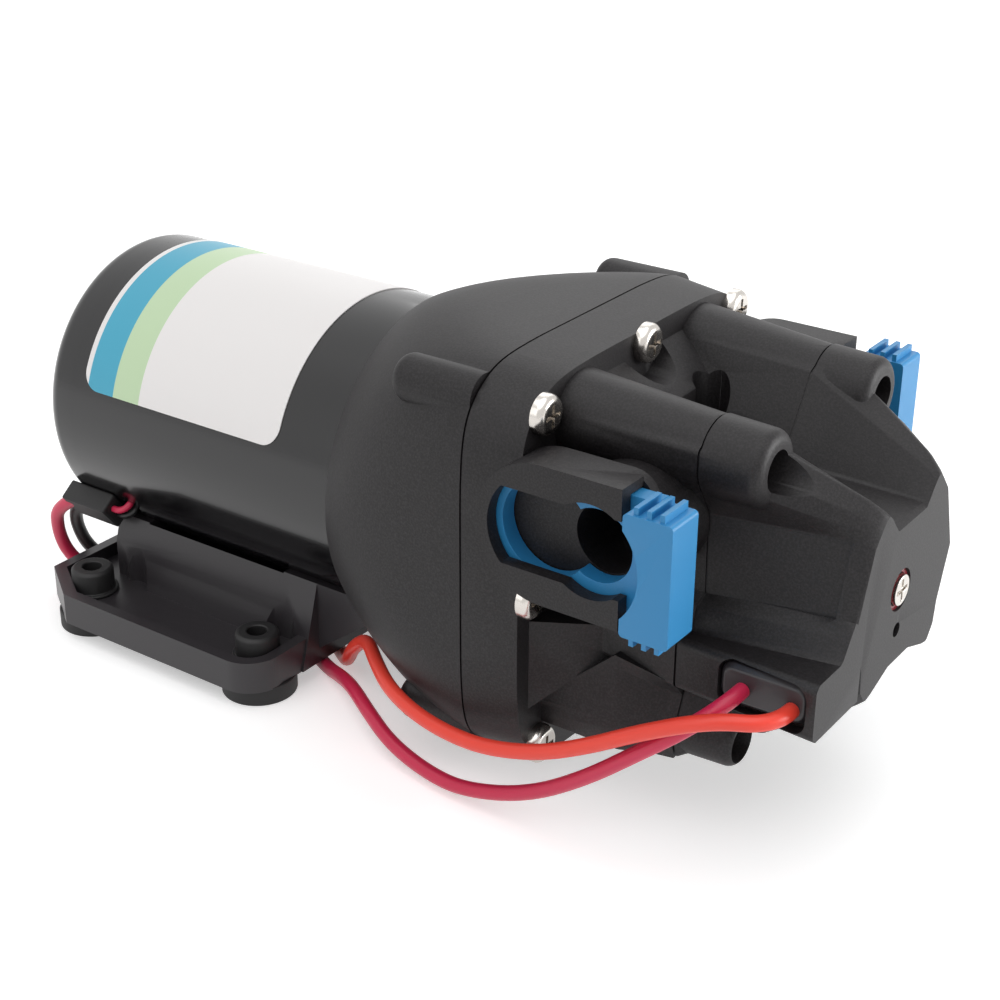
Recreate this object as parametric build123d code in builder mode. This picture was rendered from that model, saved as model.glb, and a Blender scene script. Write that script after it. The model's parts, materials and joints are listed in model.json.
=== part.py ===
from build123d import *
import os
from math import atan2, cos, degrees, pi, radians, sin, sqrt, tan

# Caravan water pump: a brushed motor, a domed drive housing with a wobble plate,
# a pump head with two ports on clips, a pressure switch, and a moulded base.
# Millimetres. X runs along the motor axis towards the pump head, Z is up.
# The origin is the centre of the four feet, on the surface they stand on.

os.makedirs("parts", exist_ok=True)

# Feet and motor axis
foot_spacing_x = 59.0
foot_spacing_y = 82.0
foot_hole_radius = 2.6
axis_height = 56.0

# Clearances
running_gap = 0.05
fit_gap = 0.1
loose_gap = 0.3
overrun = 20.0

# Motor case
motor_rear_x = -44.0
can_radius = 39.0
can_wall = 1.8
can_length = 98.8
cap_length = 10.2
cap_wall = 2.6
cap_edge_radius = 5.0
cap_spigot = 4.0
front_plate_thickness = 4.0
front_plate_setback = 2.0
front_boss_radius = 12.0
front_boss_length = 6.0
bearing_boss_radius = 10.0
bush_radius = 7.0
bush_length = 7.0
bolt_radius = 1.9
bolt_head_radius = 3.4
bolt_head_height = 2.0
bolt_circle = 33.6
bolt_boss_radius = 4.6

# Rotor
shaft_radius = 4.0
magnet_outer_gap = 0.2
magnet_thickness = 5.6
magnet_length = 56.0
magnet_split = 24.0
air_gap = 0.6
core_length = 44.0
core_start = 24.0
core_slots = 12
slot_width = 5.0
slot_depth = 13.0
end_turn_length = 8.0
end_turn_outer = 27.0
end_turn_inner = 9.0
commutator_radius = 11.5
commutator_length = 12.0
commutator_start = 2.0
commutator_cut = 0.6
commutator_cut_depth = 1.4

# Brush gear
brush_card_thickness = 2.4
brush_card_hole = 15.0
brush_width = 6.0
brush_depth = 8.0
brush_length = 9.0
brush_tube_wall = 1.4
brush_tube_end = 31.0
brush_spring_radius = 2.5
brush_spring_wire = 0.8

# Label
label_thickness = 0.25
label_gap = 0.02
label_rear = 14.4
label_length = 65.7
label_lift = 10.7
label_corner = 5.0

# Dome
dome_collar_length = 10.0
dome_collar_wall = 3.5
dome_length = 44.5
dome_wall = 3.2
dome_bulkhead = 4.0
head_half_width = 50.0
head_half_height = 48.5
boss_radius = 5.6
boss_length = 22.5
boss_screw_circle_y = 40.5
boss_screw_circle_z = 40.5

# Pump head flange and its screws
flange_thickness = 14.5
flange_draft = 1.4
flange_screw_radius = 2.2
flange_screw_length = 27.0
screw_head_radius = 4.65
screw_head_height = 3.0
phillips_span = 2.6
phillips_width = 1.0
screw_mid_height = 44.0
screw_mid_width = 45.0
screw_side_drop = 1.2

# Wobble drive
wobble_tilt = 3.5
wobble_centre = 30.0
journal_radius = 9.0
journal_length = 14.0
hub_radius = 12.0
hub_length = 8.0
ring_width = 9.0
inner_ring_radius = 12.2
outer_ring_inner = 15.4
outer_ring_radius = 19.0
ball_radius = 2.1
ball_circle = 13.8
ball_count = 9
cage_thickness = 1.2
cage_width = 5.2
plate_rim_radius = 22.5
plate_web = 3.0
lobe_circle = 19.0
lobe_radius = 12.0
post_radius = 7.2
piston_pad_radius = 8.4
piston_cap_radius = 8.0
piston_cap_thickness = 2.6
piston_screw_radius = 1.6
piston_screw_head = 3.0

# Diaphragm, valves and seal
diaphragm_thickness = 2.8
diaphragm_half = 37.0
diaphragm_hole = 10.0
valve_plate_thickness = 9.0
chamber_depth = 6.0
outlet_recess_radius = 9.5
outlet_recess_depth = 1.9
outlet_hole_circle = 8.2
outlet_hole_radius = 1.0
inlet_hole_circle = 4.0
inlet_hole_radius = 1.2
inlet_disc_radius = 6.2
valve_disc_thickness = 1.0
valve_stem_radius = 1.3
outlet_disc_radius = 8.6
seal_thickness = 1.2
seal_width = 3.5
seal_centre_radius = 13.0

# Port housing body, in the plane across the axis
mid_length = 34.0
joint_groove = 0.5
horn_y = 24.7
horn_z = 34.2
horn_radius = 9.0
low_horn_y = 31.0
low_horn_z = -28.0
low_horn_radius = 6.2
cheek_length = 19.0
ramp_cut_rear = 31.0
ramp_cut_front = 11.5
long_screw_radius = 2.2
long_screw_length = 38.0
long_head_radius = 3.9
long_head_height = 2.8
long_recess_radius = 4.6
long_recess_depth = 9.0
web_top = 42.4
web_end = 33.6
web_length = 11.0
web_half = 20.0
screw_notch = 8.2
valley_tube = 9.3
valley_tube_half = 22.0
valley_hole = 4.4
valley_hole_x = 12.6
valley_hole_y = 9.5
valley_hole_floor = 16.0
ramp_face = 44.0
ramp_inner = 30.0
ramp_length = 18.0
ramp_top = -7.6
ramp_bottom = -30.6

# Ports
port_x = 134.3
port_rise = 19.3
port_z = axis_height + port_rise
port_bore = 8.0
port_neck = 13.5
port_neck_start = 24.0
port_bore_end = 8.0
collar_face = 53.0
collar_front_wall = 3.3
clip_slot = 4.8
collar_back_wall = 2.6
collar_wall = 2.2
collar_radius = 16.1
collar_centre_back = 12.0
collar_reach = 7.5
collar_back_reach = 10.5
collar_back_corner = 6.5
window_half = 9.0
window_lobe = 10.8
passage_radius = 5.0

# Port clips
clip_gap = 0.3
clip_lobe = 8.3
clip_release_lobe = 11.0
clip_travel = 12.8
clip_handle_start = 10.6
clip_handle_length = 11.4
clip_handle_inner = 47.9
clip_handle_outer = 57.7
clip_handle_half = 13.8
clip_scallop = 14.5
clip_rib_height = 1.7
clip_rib_width = 1.1
clip_rib_pitch = 3.0
clip_rib_margin = 0.5
clip_corner = 1.0
clip_rib_count = 3
clip_pocket_margin = 2.4
clip_pocket_depth = 6.0

# Front cover
cover_length = 33.5
cover_horn_length = 13.4
cover_wall = 2.8
cover_cavity_half = 18.0
cover_cavity_top = 15.0
cover_cavity_bottom = -8.0
horn_nose = 2.8
face_plate = 4.5
face_step = 1.0
face_round = 1.2
block_top = -2.2
block_bottom = -15.6
block_corner = 2.0

# Switch plate
switch_plate_thickness = 2.2
switch_plate_lip = 0.9

# Pressure switch
switch_y = -2.6
switch_z = 3.6
sense_radius = 3.0
switch_diaphragm_radius = 14.0
switch_diaphragm_thickness = 1.2
plunger_flange_radius = 11.0
plunger_flange_thickness = 2.5
plunger_stem_radius = 2.2
plunger_stem_length = 12.0
plunger_travel = 1.0
switch_spring_radius = 4.4
switch_spring_wall = 1.0
spring_seat_radius = 5.2
spring_seat_thickness = 2.0
adjuster_radius = 2.6
adjuster_head_radius = 3.5
adjuster_head_height = 1.6
adjuster_recess_radius = 4.9
adjuster_recess_depth = 1.2
sealant_height = 0.5
bleed_drop = 9.8
bleed_radius = 1.7
microswitch_length = 14.0
microswitch_height = 12.0
button_radius = 1.5
button_length = 4.0

# Shape of the head body and its side block
body_half = 33.6
body_top = 43.2
body_corner = 1.6
body_spread = 1.04
body_root = 1.0
front_half = 25.0
front_top = 26.8
front_corner = 1.4
horn_root_y = 25.5
horn_root_z = 35.7
horn_root_radius = 10.0
horn_end_radius = 8.5
port_boss_radius = 10.0
port_boss_offset = 7.0
port_boss_back = 2.3
port_boss_top = 26.0
block_inner = 37.0
block_face = 40.0
block_depth = 10.0
block_roof = 2.4
plate_start = 10.4
plate_length = 21.0
plate_corner = 3.4
plate_slot = 0.9
plate_bevel = 1.2

# Passages inside the head
inlet_y = 19.0
inlet_z = 17.0
outlet_chamber_radius = 9.0
outlet_chamber_end = 7.0
riser_y = 11.0
riser_radius = 4.0
riser_top = 15.0

# Base
tray_rear = -42.5
tray_front = 38.5
tray_half = 52.5
tray_floor = 9.5
tray_floor_thickness = 3.0
rim_top = 13.2
rim_wall = 3.0
skirt_bottom = 4.6
tray_rear_chamfer_x = 14.0
tray_rear_chamfer_y = 9.5
tray_front_radius = 9.0
wall_foot_y = 33.6
wall_top_y = 28.4
wall_top = axis_height - 28.8
base_wall = 2.8
saddle_relief = 1.8
saddle_rib = 11.0
nose_rise = 15.5
scoop_radius = 6.8
scoop_inset = 3.6
pocket_radius = 4.4
pocket_x = -21.5
pocket_y = 35.0
base_screw_radius = 2.0
base_screw_head = 3.8
base_screw_head_height = 2.4

saddle_rear = -30.5
saddle_front = 39.0
saddle_height = axis_height - 22.0
rib_hollow_top = axis_height - can_radius - 4.0
rib_hollow_half = 24.0
nose_start = 34.0
nose_low = 5.0
base_screw_inset = 8.5
base_screw_reach = 1.4

# Grommets
grommet_foot_radius = 9.6
grommet_foot_height = 4.9
grommet_neck_radius = 5.0
grommet_lip_radius = 6.6
grommet_lip_height = 0.9
grommet_radius = 5.6
grommet_top = 16.5
grommet_bevel = 0.7

# Routes of the loose leads, points chosen by eye
crimson_route = [(164.1, -39.2, 46.5), (164.1, -46.0, 46.5), (157.0, -50.6, 39.8), (147.5, -51.8, 31.5),
    (134.0, -51.8, 19.5), (119.0, -51.8, 9.3), (102.3, -52.0, 3.9), (90.8, -51.0, 3.6),
    (77.5, -48.0, 5.0), (66.0, -42.5, 7.2), (56.5, -36.5, 7.4), (48.0, -31.0, 4.8), (40.0, -26.5, 2.1),
    (26.0, -19.5, 1.9), (8.0, -14.0, 1.9), (-12.0, -14.0, 1.9), (-30.0, -19.0, 1.9),
    (-44.5, -26.0, 2.2), (-51.5, -29.8, 8.5), (-52.0, -32.5, 17.5), (-48.0, -35.0, 27.2),
    (-38.5, -34.4, 31.8)]
orange_route = [(175.6, -39.2, 45.9), (175.6, -46.5, 45.9), (164.5, -53.2, 46.6), (149.0, -54.6, 38.5),
    (136.8, -55.0, 30.7), (124.1, -55.0, 24.0), (110.8, -55.0, 20.2), (99.7, -54.0, 19.0),
    (88.0, -51.6, 18.9), (77.0, -47.4, 19.7), (67.5, -40.5, 20.1), (58.0, -32.0, 19.5),
    (50.5, -28.8, 13.0), (45.5, -25.0, 5.8), (40.0, -20.0, 2.1), (28.0, -12.0, 1.9), (12.0, -5.0, 1.9),
    (-2.0, -4.0, 1.9), (-15.0, -5.0, 1.9)]
black_route = [(-38.5, -31.6, 28.5), (-45.0, -30.7, 26.9), (-49.5, -28.0, 18.5), (-50.3, -23.2, 8.0),
    (-44.0, -18.0, 2.2), (-32.0, -9.0, 1.9), (-17.0, 1.0, 1.9), (-2.0, 10.0, 1.9), (12.0, 16.0, 1.9),
    (26.0, 13.0, 1.9), (33.0, 2.0, 1.9)]

# Lead grommet at the rear of the motor
tie_length = 16.0
tie_width = 8.6
tie_thickness = 5.6
tie_rear = -43.0
tie_angle = 38.1
motor_lead_radius = 0.9
motor_lead_spread = 1.4
lead_reach = 4.0
can_lead_hole = 2.6
lead_radius = 1.8

# Stations along the motor axis
can_rear_x = motor_rear_x + cap_length
can_front_x = can_rear_x + can_length
dome_rear_x = can_front_x - dome_collar_length
dome_front_x = dome_rear_x + dome_length
flange_front_x = dome_front_x + flange_thickness
seam_x = flange_front_x + mid_length
cover_front_x = seam_x + cover_length
horn_end_x = seam_x + cover_horn_length
wobble_x = dome_rear_x + wobble_centre
can_bore = can_radius - can_wall


def cross_plane(x):
    # A plane across the motor axis: local x is Y, local y is height above the axis.
    return Plane(origin=(x, 0, axis_height), x_dir=(0, 1, 0), z_dir=(1, 0, 0))


def near_plane(y):
    # A plane facing the near side: local x is X, local y is Z, normal is -Y.
    return Plane(origin=(0, -y, 0), x_dir=(1, 0, 0), z_dir=(0, -1, 0))


def tilted_plane(offset):
    # A plane across the tilted journal axis, at a distance from the wobble centre.
    lean = radians(wobble_tilt)
    direction = (cos(lean), 0, sin(lean))
    origin = (wobble_x + offset * cos(lean), 0, axis_height + offset * sin(lean))
    return Plane(origin=origin, x_dir=(0, 1, 0), z_dir=direction)


def lead_plane(reach):
    # A plane square to a line from the motor axis down to the lead grommet.
    drop = radians(tie_angle)
    outward = (0, -cos(drop), -sin(drop))
    origin = (0, -reach * cos(drop), axis_height - reach * sin(drop))
    return Plane(origin=origin, x_dir=(1, 0, 0), z_dir=outward)


# Motor case

with BuildPart() as motor_can:
    with BuildSketch(cross_plane(can_rear_x)):
        Circle(can_radius)
        Circle(can_bore, mode=Mode.SUBTRACT)
    extrude(amount=can_length)
    with BuildSketch(Plane.XY):
        with Locations((saddle_rear + base_screw_inset, 0), (saddle_front - base_screw_inset, 0)):
            Circle(base_screw_radius + running_gap)
    extrude(amount=axis_height, mode=Mode.SUBTRACT)
    with BuildSketch(lead_plane(can_bore - can_wall)):
        with Locations((tie_rear + tie_length + lead_reach, 0)):
            Circle(can_lead_hole)
    extrude(amount=can_wall * 3, mode=Mode.SUBTRACT)
motor_can.part.label = "motor_can"
export_step(motor_can.part, "parts/motor_can.step")

spigot_radius = can_bore - running_gap
cap_bush_x = can_rear_x - bush_length
with BuildPart() as motor_end_cap:
    with BuildSketch(cross_plane(motor_rear_x)):
        Circle(can_radius)
    extrude(amount=cap_length)
    rear_edge = motor_end_cap.edges().filter_by(GeomType.CIRCLE).sort_by(Axis.X)[0]
    fillet(rear_edge, cap_edge_radius)
    with BuildSketch(cross_plane(motor_rear_x + cap_wall)):
        Circle(can_radius - cap_wall)
        Circle(bearing_boss_radius, mode=Mode.SUBTRACT)
        with Locations((0, bolt_circle), (0, -bolt_circle)):
            Circle(bolt_boss_radius, mode=Mode.SUBTRACT)
    extrude(amount=overrun, mode=Mode.SUBTRACT)
    with BuildSketch(cross_plane(motor_rear_x + cap_wall)):
        Circle(spigot_radius)
        Circle(spigot_radius - cap_wall / 2, mode=Mode.SUBTRACT)
    extrude(amount=cap_length - cap_wall + cap_spigot)
    with BuildSketch(cross_plane(cap_bush_x)):
        Circle(bush_radius)
    extrude(amount=overrun, mode=Mode.SUBTRACT)
    with BuildSketch(cross_plane(motor_rear_x)):
        with Locations((0, bolt_circle), (0, -bolt_circle)):
            Circle(bolt_head_radius + fit_gap)
    extrude(amount=bolt_head_height, mode=Mode.SUBTRACT)
    with BuildSketch(cross_plane(motor_rear_x)):
        with Locations((0, bolt_circle), (0, -bolt_circle)):
            Circle(bolt_radius + fit_gap)
    extrude(amount=overrun, mode=Mode.SUBTRACT)
motor_end_cap.part.label = "motor_end_cap"
export_step(motor_end_cap.part, "parts/motor_end_cap.step")

front_plate_x = can_front_x - front_plate_setback - front_plate_thickness
with BuildPart() as motor_front_plate:
    with BuildSketch(cross_plane(front_plate_x)):
        Circle(can_bore - running_gap)
    extrude(amount=front_plate_thickness)
    with BuildSketch(cross_plane(front_plate_x)):
        Circle(front_boss_radius)
    extrude(amount=front_plate_thickness + front_boss_length)
    with BuildSketch(cross_plane(front_plate_x + front_plate_thickness + front_boss_length)):
        Circle(bush_radius)
    extrude(amount=-bush_length, mode=Mode.SUBTRACT)
    with BuildSketch(cross_plane(front_plate_x)):
        Circle(shaft_radius + loose_gap)
        with Locations((0, bolt_circle), (0, -bolt_circle)):
            Circle(bolt_radius + fit_gap)
    extrude(amount=overrun, mode=Mode.SUBTRACT)
motor_front_plate.part.label = "motor_front_plate"
export_step(motor_front_plate.part, "parts/motor_front_plate.step")

front_bush_x = front_plate_x + front_plate_thickness + front_boss_length - bush_length
with BuildPart() as shaft_bushes:
    for bush_x in (cap_bush_x, front_bush_x):
        with BuildSketch(cross_plane(bush_x)):
            Circle(bush_radius)
            Circle(shaft_radius + running_gap, mode=Mode.SUBTRACT)
        extrude(amount=bush_length)
shaft_bushes.part.label = "shaft_bushes"
export_step(shaft_bushes.part, "parts/shaft_bushes.step")

bolt_start_x = motor_rear_x + bolt_head_height
with BuildPart() as motor_bolts:
    with BuildSketch(cross_plane(bolt_start_x)):
        with Locations((0, bolt_circle), (0, -bolt_circle)):
            Circle(bolt_radius)
    extrude(amount=front_plate_x + front_plate_thickness - bolt_start_x)
    with BuildSketch(cross_plane(bolt_start_x)):
        with Locations((0, bolt_circle), (0, -bolt_circle)):
            RegularPolygon(bolt_head_radius, 6)
    extrude(amount=-bolt_head_height)
motor_bolts.part.label = "motor_bolts"
export_step(motor_bolts.part, "parts/motor_bolts.step")

# Rotor and field

core_x = can_rear_x + core_start
magnet_outer = can_bore - magnet_outer_gap
magnet_inner = magnet_outer - magnet_thickness
core_radius = magnet_inner - air_gap
with BuildPart() as field_magnets:
    with BuildSketch(cross_plane(core_x + core_length / 2 - magnet_length / 2)):
        Circle(magnet_outer)
        Circle(magnet_inner, mode=Mode.SUBTRACT)
        Rectangle(magnet_split, can_radius * 2, mode=Mode.SUBTRACT)
    extrude(amount=magnet_length)
field_magnets.part.label = "field_magnets"
export_step(field_magnets.part, "parts/field_magnets.step")

slot_centre = core_radius - slot_depth / 2 - slot_width / 4
with BuildPart() as armature_core:
    with BuildSketch(cross_plane(core_x)):
        Circle(core_radius)
        Circle(shaft_radius, mode=Mode.SUBTRACT)
        with PolarLocations(slot_centre, core_slots):
            Rectangle(slot_depth, slot_width, mode=Mode.SUBTRACT)
    extrude(amount=core_length)
armature_core.part.label = "armature_core"
export_step(armature_core.part, "parts/armature_core.step")

with BuildPart() as armature_windings:
    with BuildSketch(cross_plane(core_x)):
        with PolarLocations(slot_centre, core_slots):
            Rectangle(slot_depth - fit_gap * 2, slot_width - fit_gap * 2)
    extrude(amount=core_length)
    for turn_x in (core_x - end_turn_length, core_x + core_length):
        with BuildSketch(cross_plane(turn_x)):
            Circle(end_turn_outer)
            Circle(end_turn_inner, mode=Mode.SUBTRACT)
        extrude(amount=end_turn_length)
armature_windings.part.label = "armature_windings"
export_step(armature_windings.part, "parts/armature_windings.step")

commutator_x = can_rear_x + commutator_start
with BuildPart() as commutator:
    with BuildSketch(cross_plane(commutator_x)):
        Circle(commutator_radius)
        Circle(shaft_radius, mode=Mode.SUBTRACT)
        with PolarLocations(commutator_radius - commutator_cut_depth / 2, core_slots):
            Rectangle(commutator_cut_depth * 2, commutator_cut, mode=Mode.SUBTRACT)
    extrude(amount=commutator_length)
commutator.part.label = "commutator"
export_step(commutator.part, "parts/commutator.step")

shaft_start_x = cap_bush_x + loose_gap
hub_rear_x = wobble_x - journal_length / 2 - hub_length
shaft_end_x = wobble_x + journal_length / 2
with BuildPart() as motor_shaft:
    with BuildSketch(cross_plane(shaft_start_x)):
        Circle(shaft_radius)
    extrude(amount=shaft_end_x - shaft_start_x)
motor_shaft.part.label = "motor_shaft"
export_step(motor_shaft.part, "parts/motor_shaft.step")

# Brush gear: a card across the can, with a tube each side of the commutator

brush_x = commutator_x + commutator_length / 2
card_x = brush_x - brush_depth / 2 - brush_tube_wall - brush_card_thickness
brush_face = commutator_radius + fit_gap
tube_inner = brush_face + brush_tube_wall * 2
tube_length = brush_tube_end - tube_inner
tube_height = brush_width + brush_tube_wall * 2
tube_depth = brush_depth + brush_tube_wall * 2
with BuildPart() as brush_holder:
    with BuildSketch(cross_plane(card_x)):
        Circle(spigot_radius - cap_wall / 2 - fit_gap)
        Circle(brush_card_hole, mode=Mode.SUBTRACT)
        with Locations((0, bolt_circle), (0, -bolt_circle)):
            Circle(bolt_radius + loose_gap, mode=Mode.SUBTRACT)
    extrude(amount=brush_card_thickness)
    with BuildSketch(cross_plane(card_x + brush_card_thickness)):
        with Locations((tube_inner + tube_length / 2, 0), (-tube_inner - tube_length / 2, 0)):
            Rectangle(tube_length, tube_height)
    extrude(amount=tube_depth)
    hollow_length = tube_length - brush_tube_wall
    with BuildSketch(cross_plane(brush_x - brush_depth / 2 - running_gap)):
        with Locations((tube_inner + hollow_length / 2, 0), (-tube_inner - hollow_length / 2, 0)):
            Rectangle(hollow_length, brush_width + running_gap * 2)
    extrude(amount=brush_depth + running_gap * 2, mode=Mode.SUBTRACT)
brush_holder.part.label = "brush_holder"
export_step(brush_holder.part, "parts/brush_holder.step")

with BuildPart() as carbon_brushes:
    with BuildSketch(cross_plane(brush_x - brush_depth / 2)):
        Rectangle((brush_face + brush_length) * 2, brush_width)
        Circle(brush_face, mode=Mode.SUBTRACT)
    extrude(amount=brush_depth)
carbon_brushes.part.label = "carbon_brushes"
export_step(carbon_brushes.part, "parts/carbon_brushes.step")

spring_start = brush_face + brush_length
spring_room = brush_tube_end - brush_tube_wall - spring_start
with BuildPart() as brush_springs:
    for spring_y in (spring_start, -spring_start - spring_room):
        spring_seat_plane = Plane(origin=(brush_x, spring_y, axis_height), z_dir=(0, 1, 0))
        with BuildSketch(spring_seat_plane):
            Circle(brush_spring_radius)
            Circle(brush_spring_radius - brush_spring_wire, mode=Mode.SUBTRACT)
        extrude(amount=spring_room)
brush_springs.part.label = "brush_springs"
export_step(brush_springs.part, "parts/brush_springs.step")

# Wrap label, with rounded lower corners

with BuildPart() as motor_label:
    with BuildSketch(cross_plane(motor_rear_x + label_rear)):
        Circle(can_radius + label_gap + label_thickness)
        Circle(can_radius + label_gap, mode=Mode.SUBTRACT)
    extrude(amount=label_length)
    with BuildSketch(near_plane(0)) as label_view:
        with Locations((motor_rear_x + label_rear + label_length / 2,
                        axis_height + label_lift + can_radius)):
            Rectangle(label_length, can_radius * 2)
        fillet(label_view.vertices(), label_corner)
    extrude(amount=can_radius + overrun, both=True, mode=Mode.INTERSECT)
motor_label.part.label = "motor_label"
export_step(motor_label.part, "parts/motor_label.step")

# Drive housing: a round collar that grows into a rounded square

outline_steps = 36
round_power = 2.0
head_power = 5.5
dome_shares = ((0.0, 0.0, 2.0), (0.25, 0.6, 2.5), (0.6, 0.9, 3.7), (1.0, 1.0, 5.5))
dome_ring = 13.5
cavity_front_half = 33.0
cavity_power = 4.0


def rounded_outline(half_width, half_height, power):
    # A smooth outline between a circle, power 2, and a rounded square.
    points = []
    for step in range(outline_steps):
        angle = 2 * pi * step / outline_steps
        across = abs(cos(angle) / half_width) ** power
        upward = abs(sin(angle) / half_height) ** power
        reach = (across + upward) ** (-1 / power)
        points.append((reach * cos(angle), reach * sin(angle)))
    with BuildLine() as outline:
        Spline(*points, periodic=True)
    make_face(outline.edges())


collar_outer = can_radius + dome_collar_wall
corner_screws = [(y, z) for y in (boss_screw_circle_y, -boss_screw_circle_y)
                 for z in (boss_screw_circle_z, -boss_screw_circle_z)]
middle_screws = [(0, screw_mid_height), (0, -screw_mid_height),
                 (screw_mid_width, -screw_side_drop), (-screw_mid_width, -screw_side_drop)]
flange_screw_places = corner_screws + middle_screws
bulkhead_x = can_front_x + dome_bulkhead
ring_x = dome_front_x - dome_ring
diaphragm_seat = diaphragm_thickness / 2

with BuildPart() as drive_housing:
    for length_share, growth_share, power in dome_shares:
        half_width = collar_outer + (head_half_width - collar_outer) * growth_share
        half_height = collar_outer + (head_half_height - collar_outer) * growth_share
        with BuildSketch(cross_plane(dome_rear_x + dome_length * length_share)):
            rounded_outline(half_width, half_height, power)
    loft()
    with BuildSketch(cross_plane(dome_front_x)):
        with Locations(*corner_screws):
            Circle(boss_radius)
    extrude(amount=-boss_length)
    boss_ends = drive_housing.edges().filter_by(GeomType.CIRCLE).filter_by(
        lambda edge: abs(edge.center().X - dome_front_x + boss_length) < running_gap)
    fillet(boss_ends, boss_radius * 0.6)
    with BuildSketch(cross_plane(dome_rear_x)):
        Circle(can_radius + running_gap)
    extrude(amount=dome_collar_length, mode=Mode.SUBTRACT)
    with BuildSketch(cross_plane(dome_rear_x)):
        Circle(front_boss_radius + fit_gap)
    extrude(amount=dome_length, mode=Mode.SUBTRACT)
    cavity_rear_half = collar_outer - dome_wall
    ring_half = head_half_height - dome_wall * 1.6
    with BuildSketch(cross_plane(bulkhead_x)):
        rounded_outline(cavity_rear_half, cavity_rear_half, round_power)
    with BuildSketch(cross_plane(ring_x)):
        rounded_outline(ring_half, ring_half, dome_shares[1][2])
    loft(mode=Mode.SUBTRACT)
    with BuildSketch(cross_plane(ring_x)):
        rounded_outline(cavity_front_half, cavity_front_half, cavity_power)
    extrude(amount=dome_ring, mode=Mode.SUBTRACT)
    with BuildSketch(cross_plane(dome_front_x)):
        rounded_outline(diaphragm_half, diaphragm_half, cavity_power)
    extrude(amount=-diaphragm_seat, mode=Mode.SUBTRACT)
    with BuildSketch(cross_plane(dome_front_x)):
        with Locations(*flange_screw_places):
            Circle(flange_screw_radius + running_gap)
    extrude(amount=-(flange_screw_length - flange_thickness + fit_gap), mode=Mode.SUBTRACT)
drive_housing.part.label = "drive_housing"
export_step(drive_housing.part, "parts/drive_housing.step")


def cross_recess(x, places, depth):
    # A Phillips cross cut into screw heads whose tops lie at x.
    with BuildSketch(cross_plane(x)) as crosses:
        with Locations(*places):
            Rectangle(phillips_span * 2, phillips_width)
            Rectangle(phillips_width, phillips_span * 2)
    extrude(crosses.sketch, amount=-depth, mode=Mode.SUBTRACT)


def pan_screws(x, places, shank_radius, shank_length, head_radius, head_height):
    # Pan head screws along the motor axis, seated at x, with the heads in front.
    with BuildSketch(cross_plane(x)) as heads:
        with Locations(*places):
            Circle(head_radius)
    extrude(heads.sketch, amount=head_height)
    tops = faces().filter_by(Axis.X).group_by(Axis.X)[-1].edges()
    fillet(tops, head_height * 0.62)
    cross_recess(x + head_height, places, head_height * 0.55)
    with BuildSketch(cross_plane(x)) as shanks:
        with Locations(*places):
            Circle(shank_radius)
    extrude(shanks.sketch, amount=-shank_length)


with BuildPart() as flange_screws:
    pan_screws(flange_front_x, flange_screw_places, flange_screw_radius, flange_screw_length,
               screw_head_radius, screw_head_height)
flange_screws.part.label = "flange_screws"
export_step(flange_screws.part, "parts/flange_screws.step")

# Wobble drive: a tilted journal turns inside a bearing, and the plate nods

lobe_side = lobe_circle / sqrt(2)
lobe_places = [(y, z) for y in (lobe_side, -lobe_side) for z in (lobe_side, -lobe_side)]
half_ring = ring_width / 2
diaphragm_offset = dome_front_x - wobble_x

with BuildPart() as eccentric_hub:
    with BuildSketch(tilted_plane(-journal_length / 2)):
        Circle(journal_radius)
    extrude(amount=journal_length)
    with BuildSketch(cross_plane(hub_rear_x)):
        Circle(hub_radius - loose_gap)
    extrude(amount=hub_length)
    with BuildSketch(cross_plane(hub_rear_x)):
        Circle(shaft_radius)
    extrude(amount=journal_length + hub_length + overrun, mode=Mode.SUBTRACT)
eccentric_hub.part.label = "eccentric_hub"
export_step(eccentric_hub.part, "parts/eccentric_hub.step")

with BuildPart() as wobble_bearing_inner:
    with BuildSketch(tilted_plane(-half_ring)):
        Circle(inner_ring_radius)
        Circle(journal_radius, mode=Mode.SUBTRACT)
    extrude(amount=ring_width)
    with Locations(tilted_plane(0)):
        Torus(ball_circle, ball_radius + running_gap, mode=Mode.SUBTRACT)
wobble_bearing_inner.part.label = "wobble_bearing_inner"
export_step(wobble_bearing_inner.part, "parts/wobble_bearing_inner.step")

with BuildPart() as wobble_bearing_outer:
    with BuildSketch(tilted_plane(-half_ring)):
        Circle(outer_ring_radius)
        Circle(outer_ring_inner, mode=Mode.SUBTRACT)
    extrude(amount=ring_width)
    with Locations(tilted_plane(0)):
        Torus(ball_circle, ball_radius + running_gap, mode=Mode.SUBTRACT)
wobble_bearing_outer.part.label = "wobble_bearing_outer"
export_step(wobble_bearing_outer.part, "parts/wobble_bearing_outer.step")

with BuildPart() as bearing_balls:
    with Locations(tilted_plane(0)):
        with PolarLocations(ball_circle, ball_count):
            Sphere(ball_radius)
bearing_balls.part.label = "bearing_balls"
export_step(bearing_balls.part, "parts/bearing_balls.step")

with BuildPart() as ball_cage:
    with BuildSketch(tilted_plane(-cage_width / 2)):
        Circle(ball_circle + cage_thickness / 2)
        Circle(ball_circle - cage_thickness / 2, mode=Mode.SUBTRACT)
    extrude(amount=cage_width)
    with Locations(tilted_plane(0)):
        with PolarLocations(ball_circle, ball_count):
            Cylinder(ball_radius + running_gap, cage_thickness * 2, rotation=(0, 90, 0),
                     mode=Mode.SUBTRACT)
ball_cage.part.label = "ball_cage"
export_step(ball_cage.part, "parts/ball_cage.step")

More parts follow.
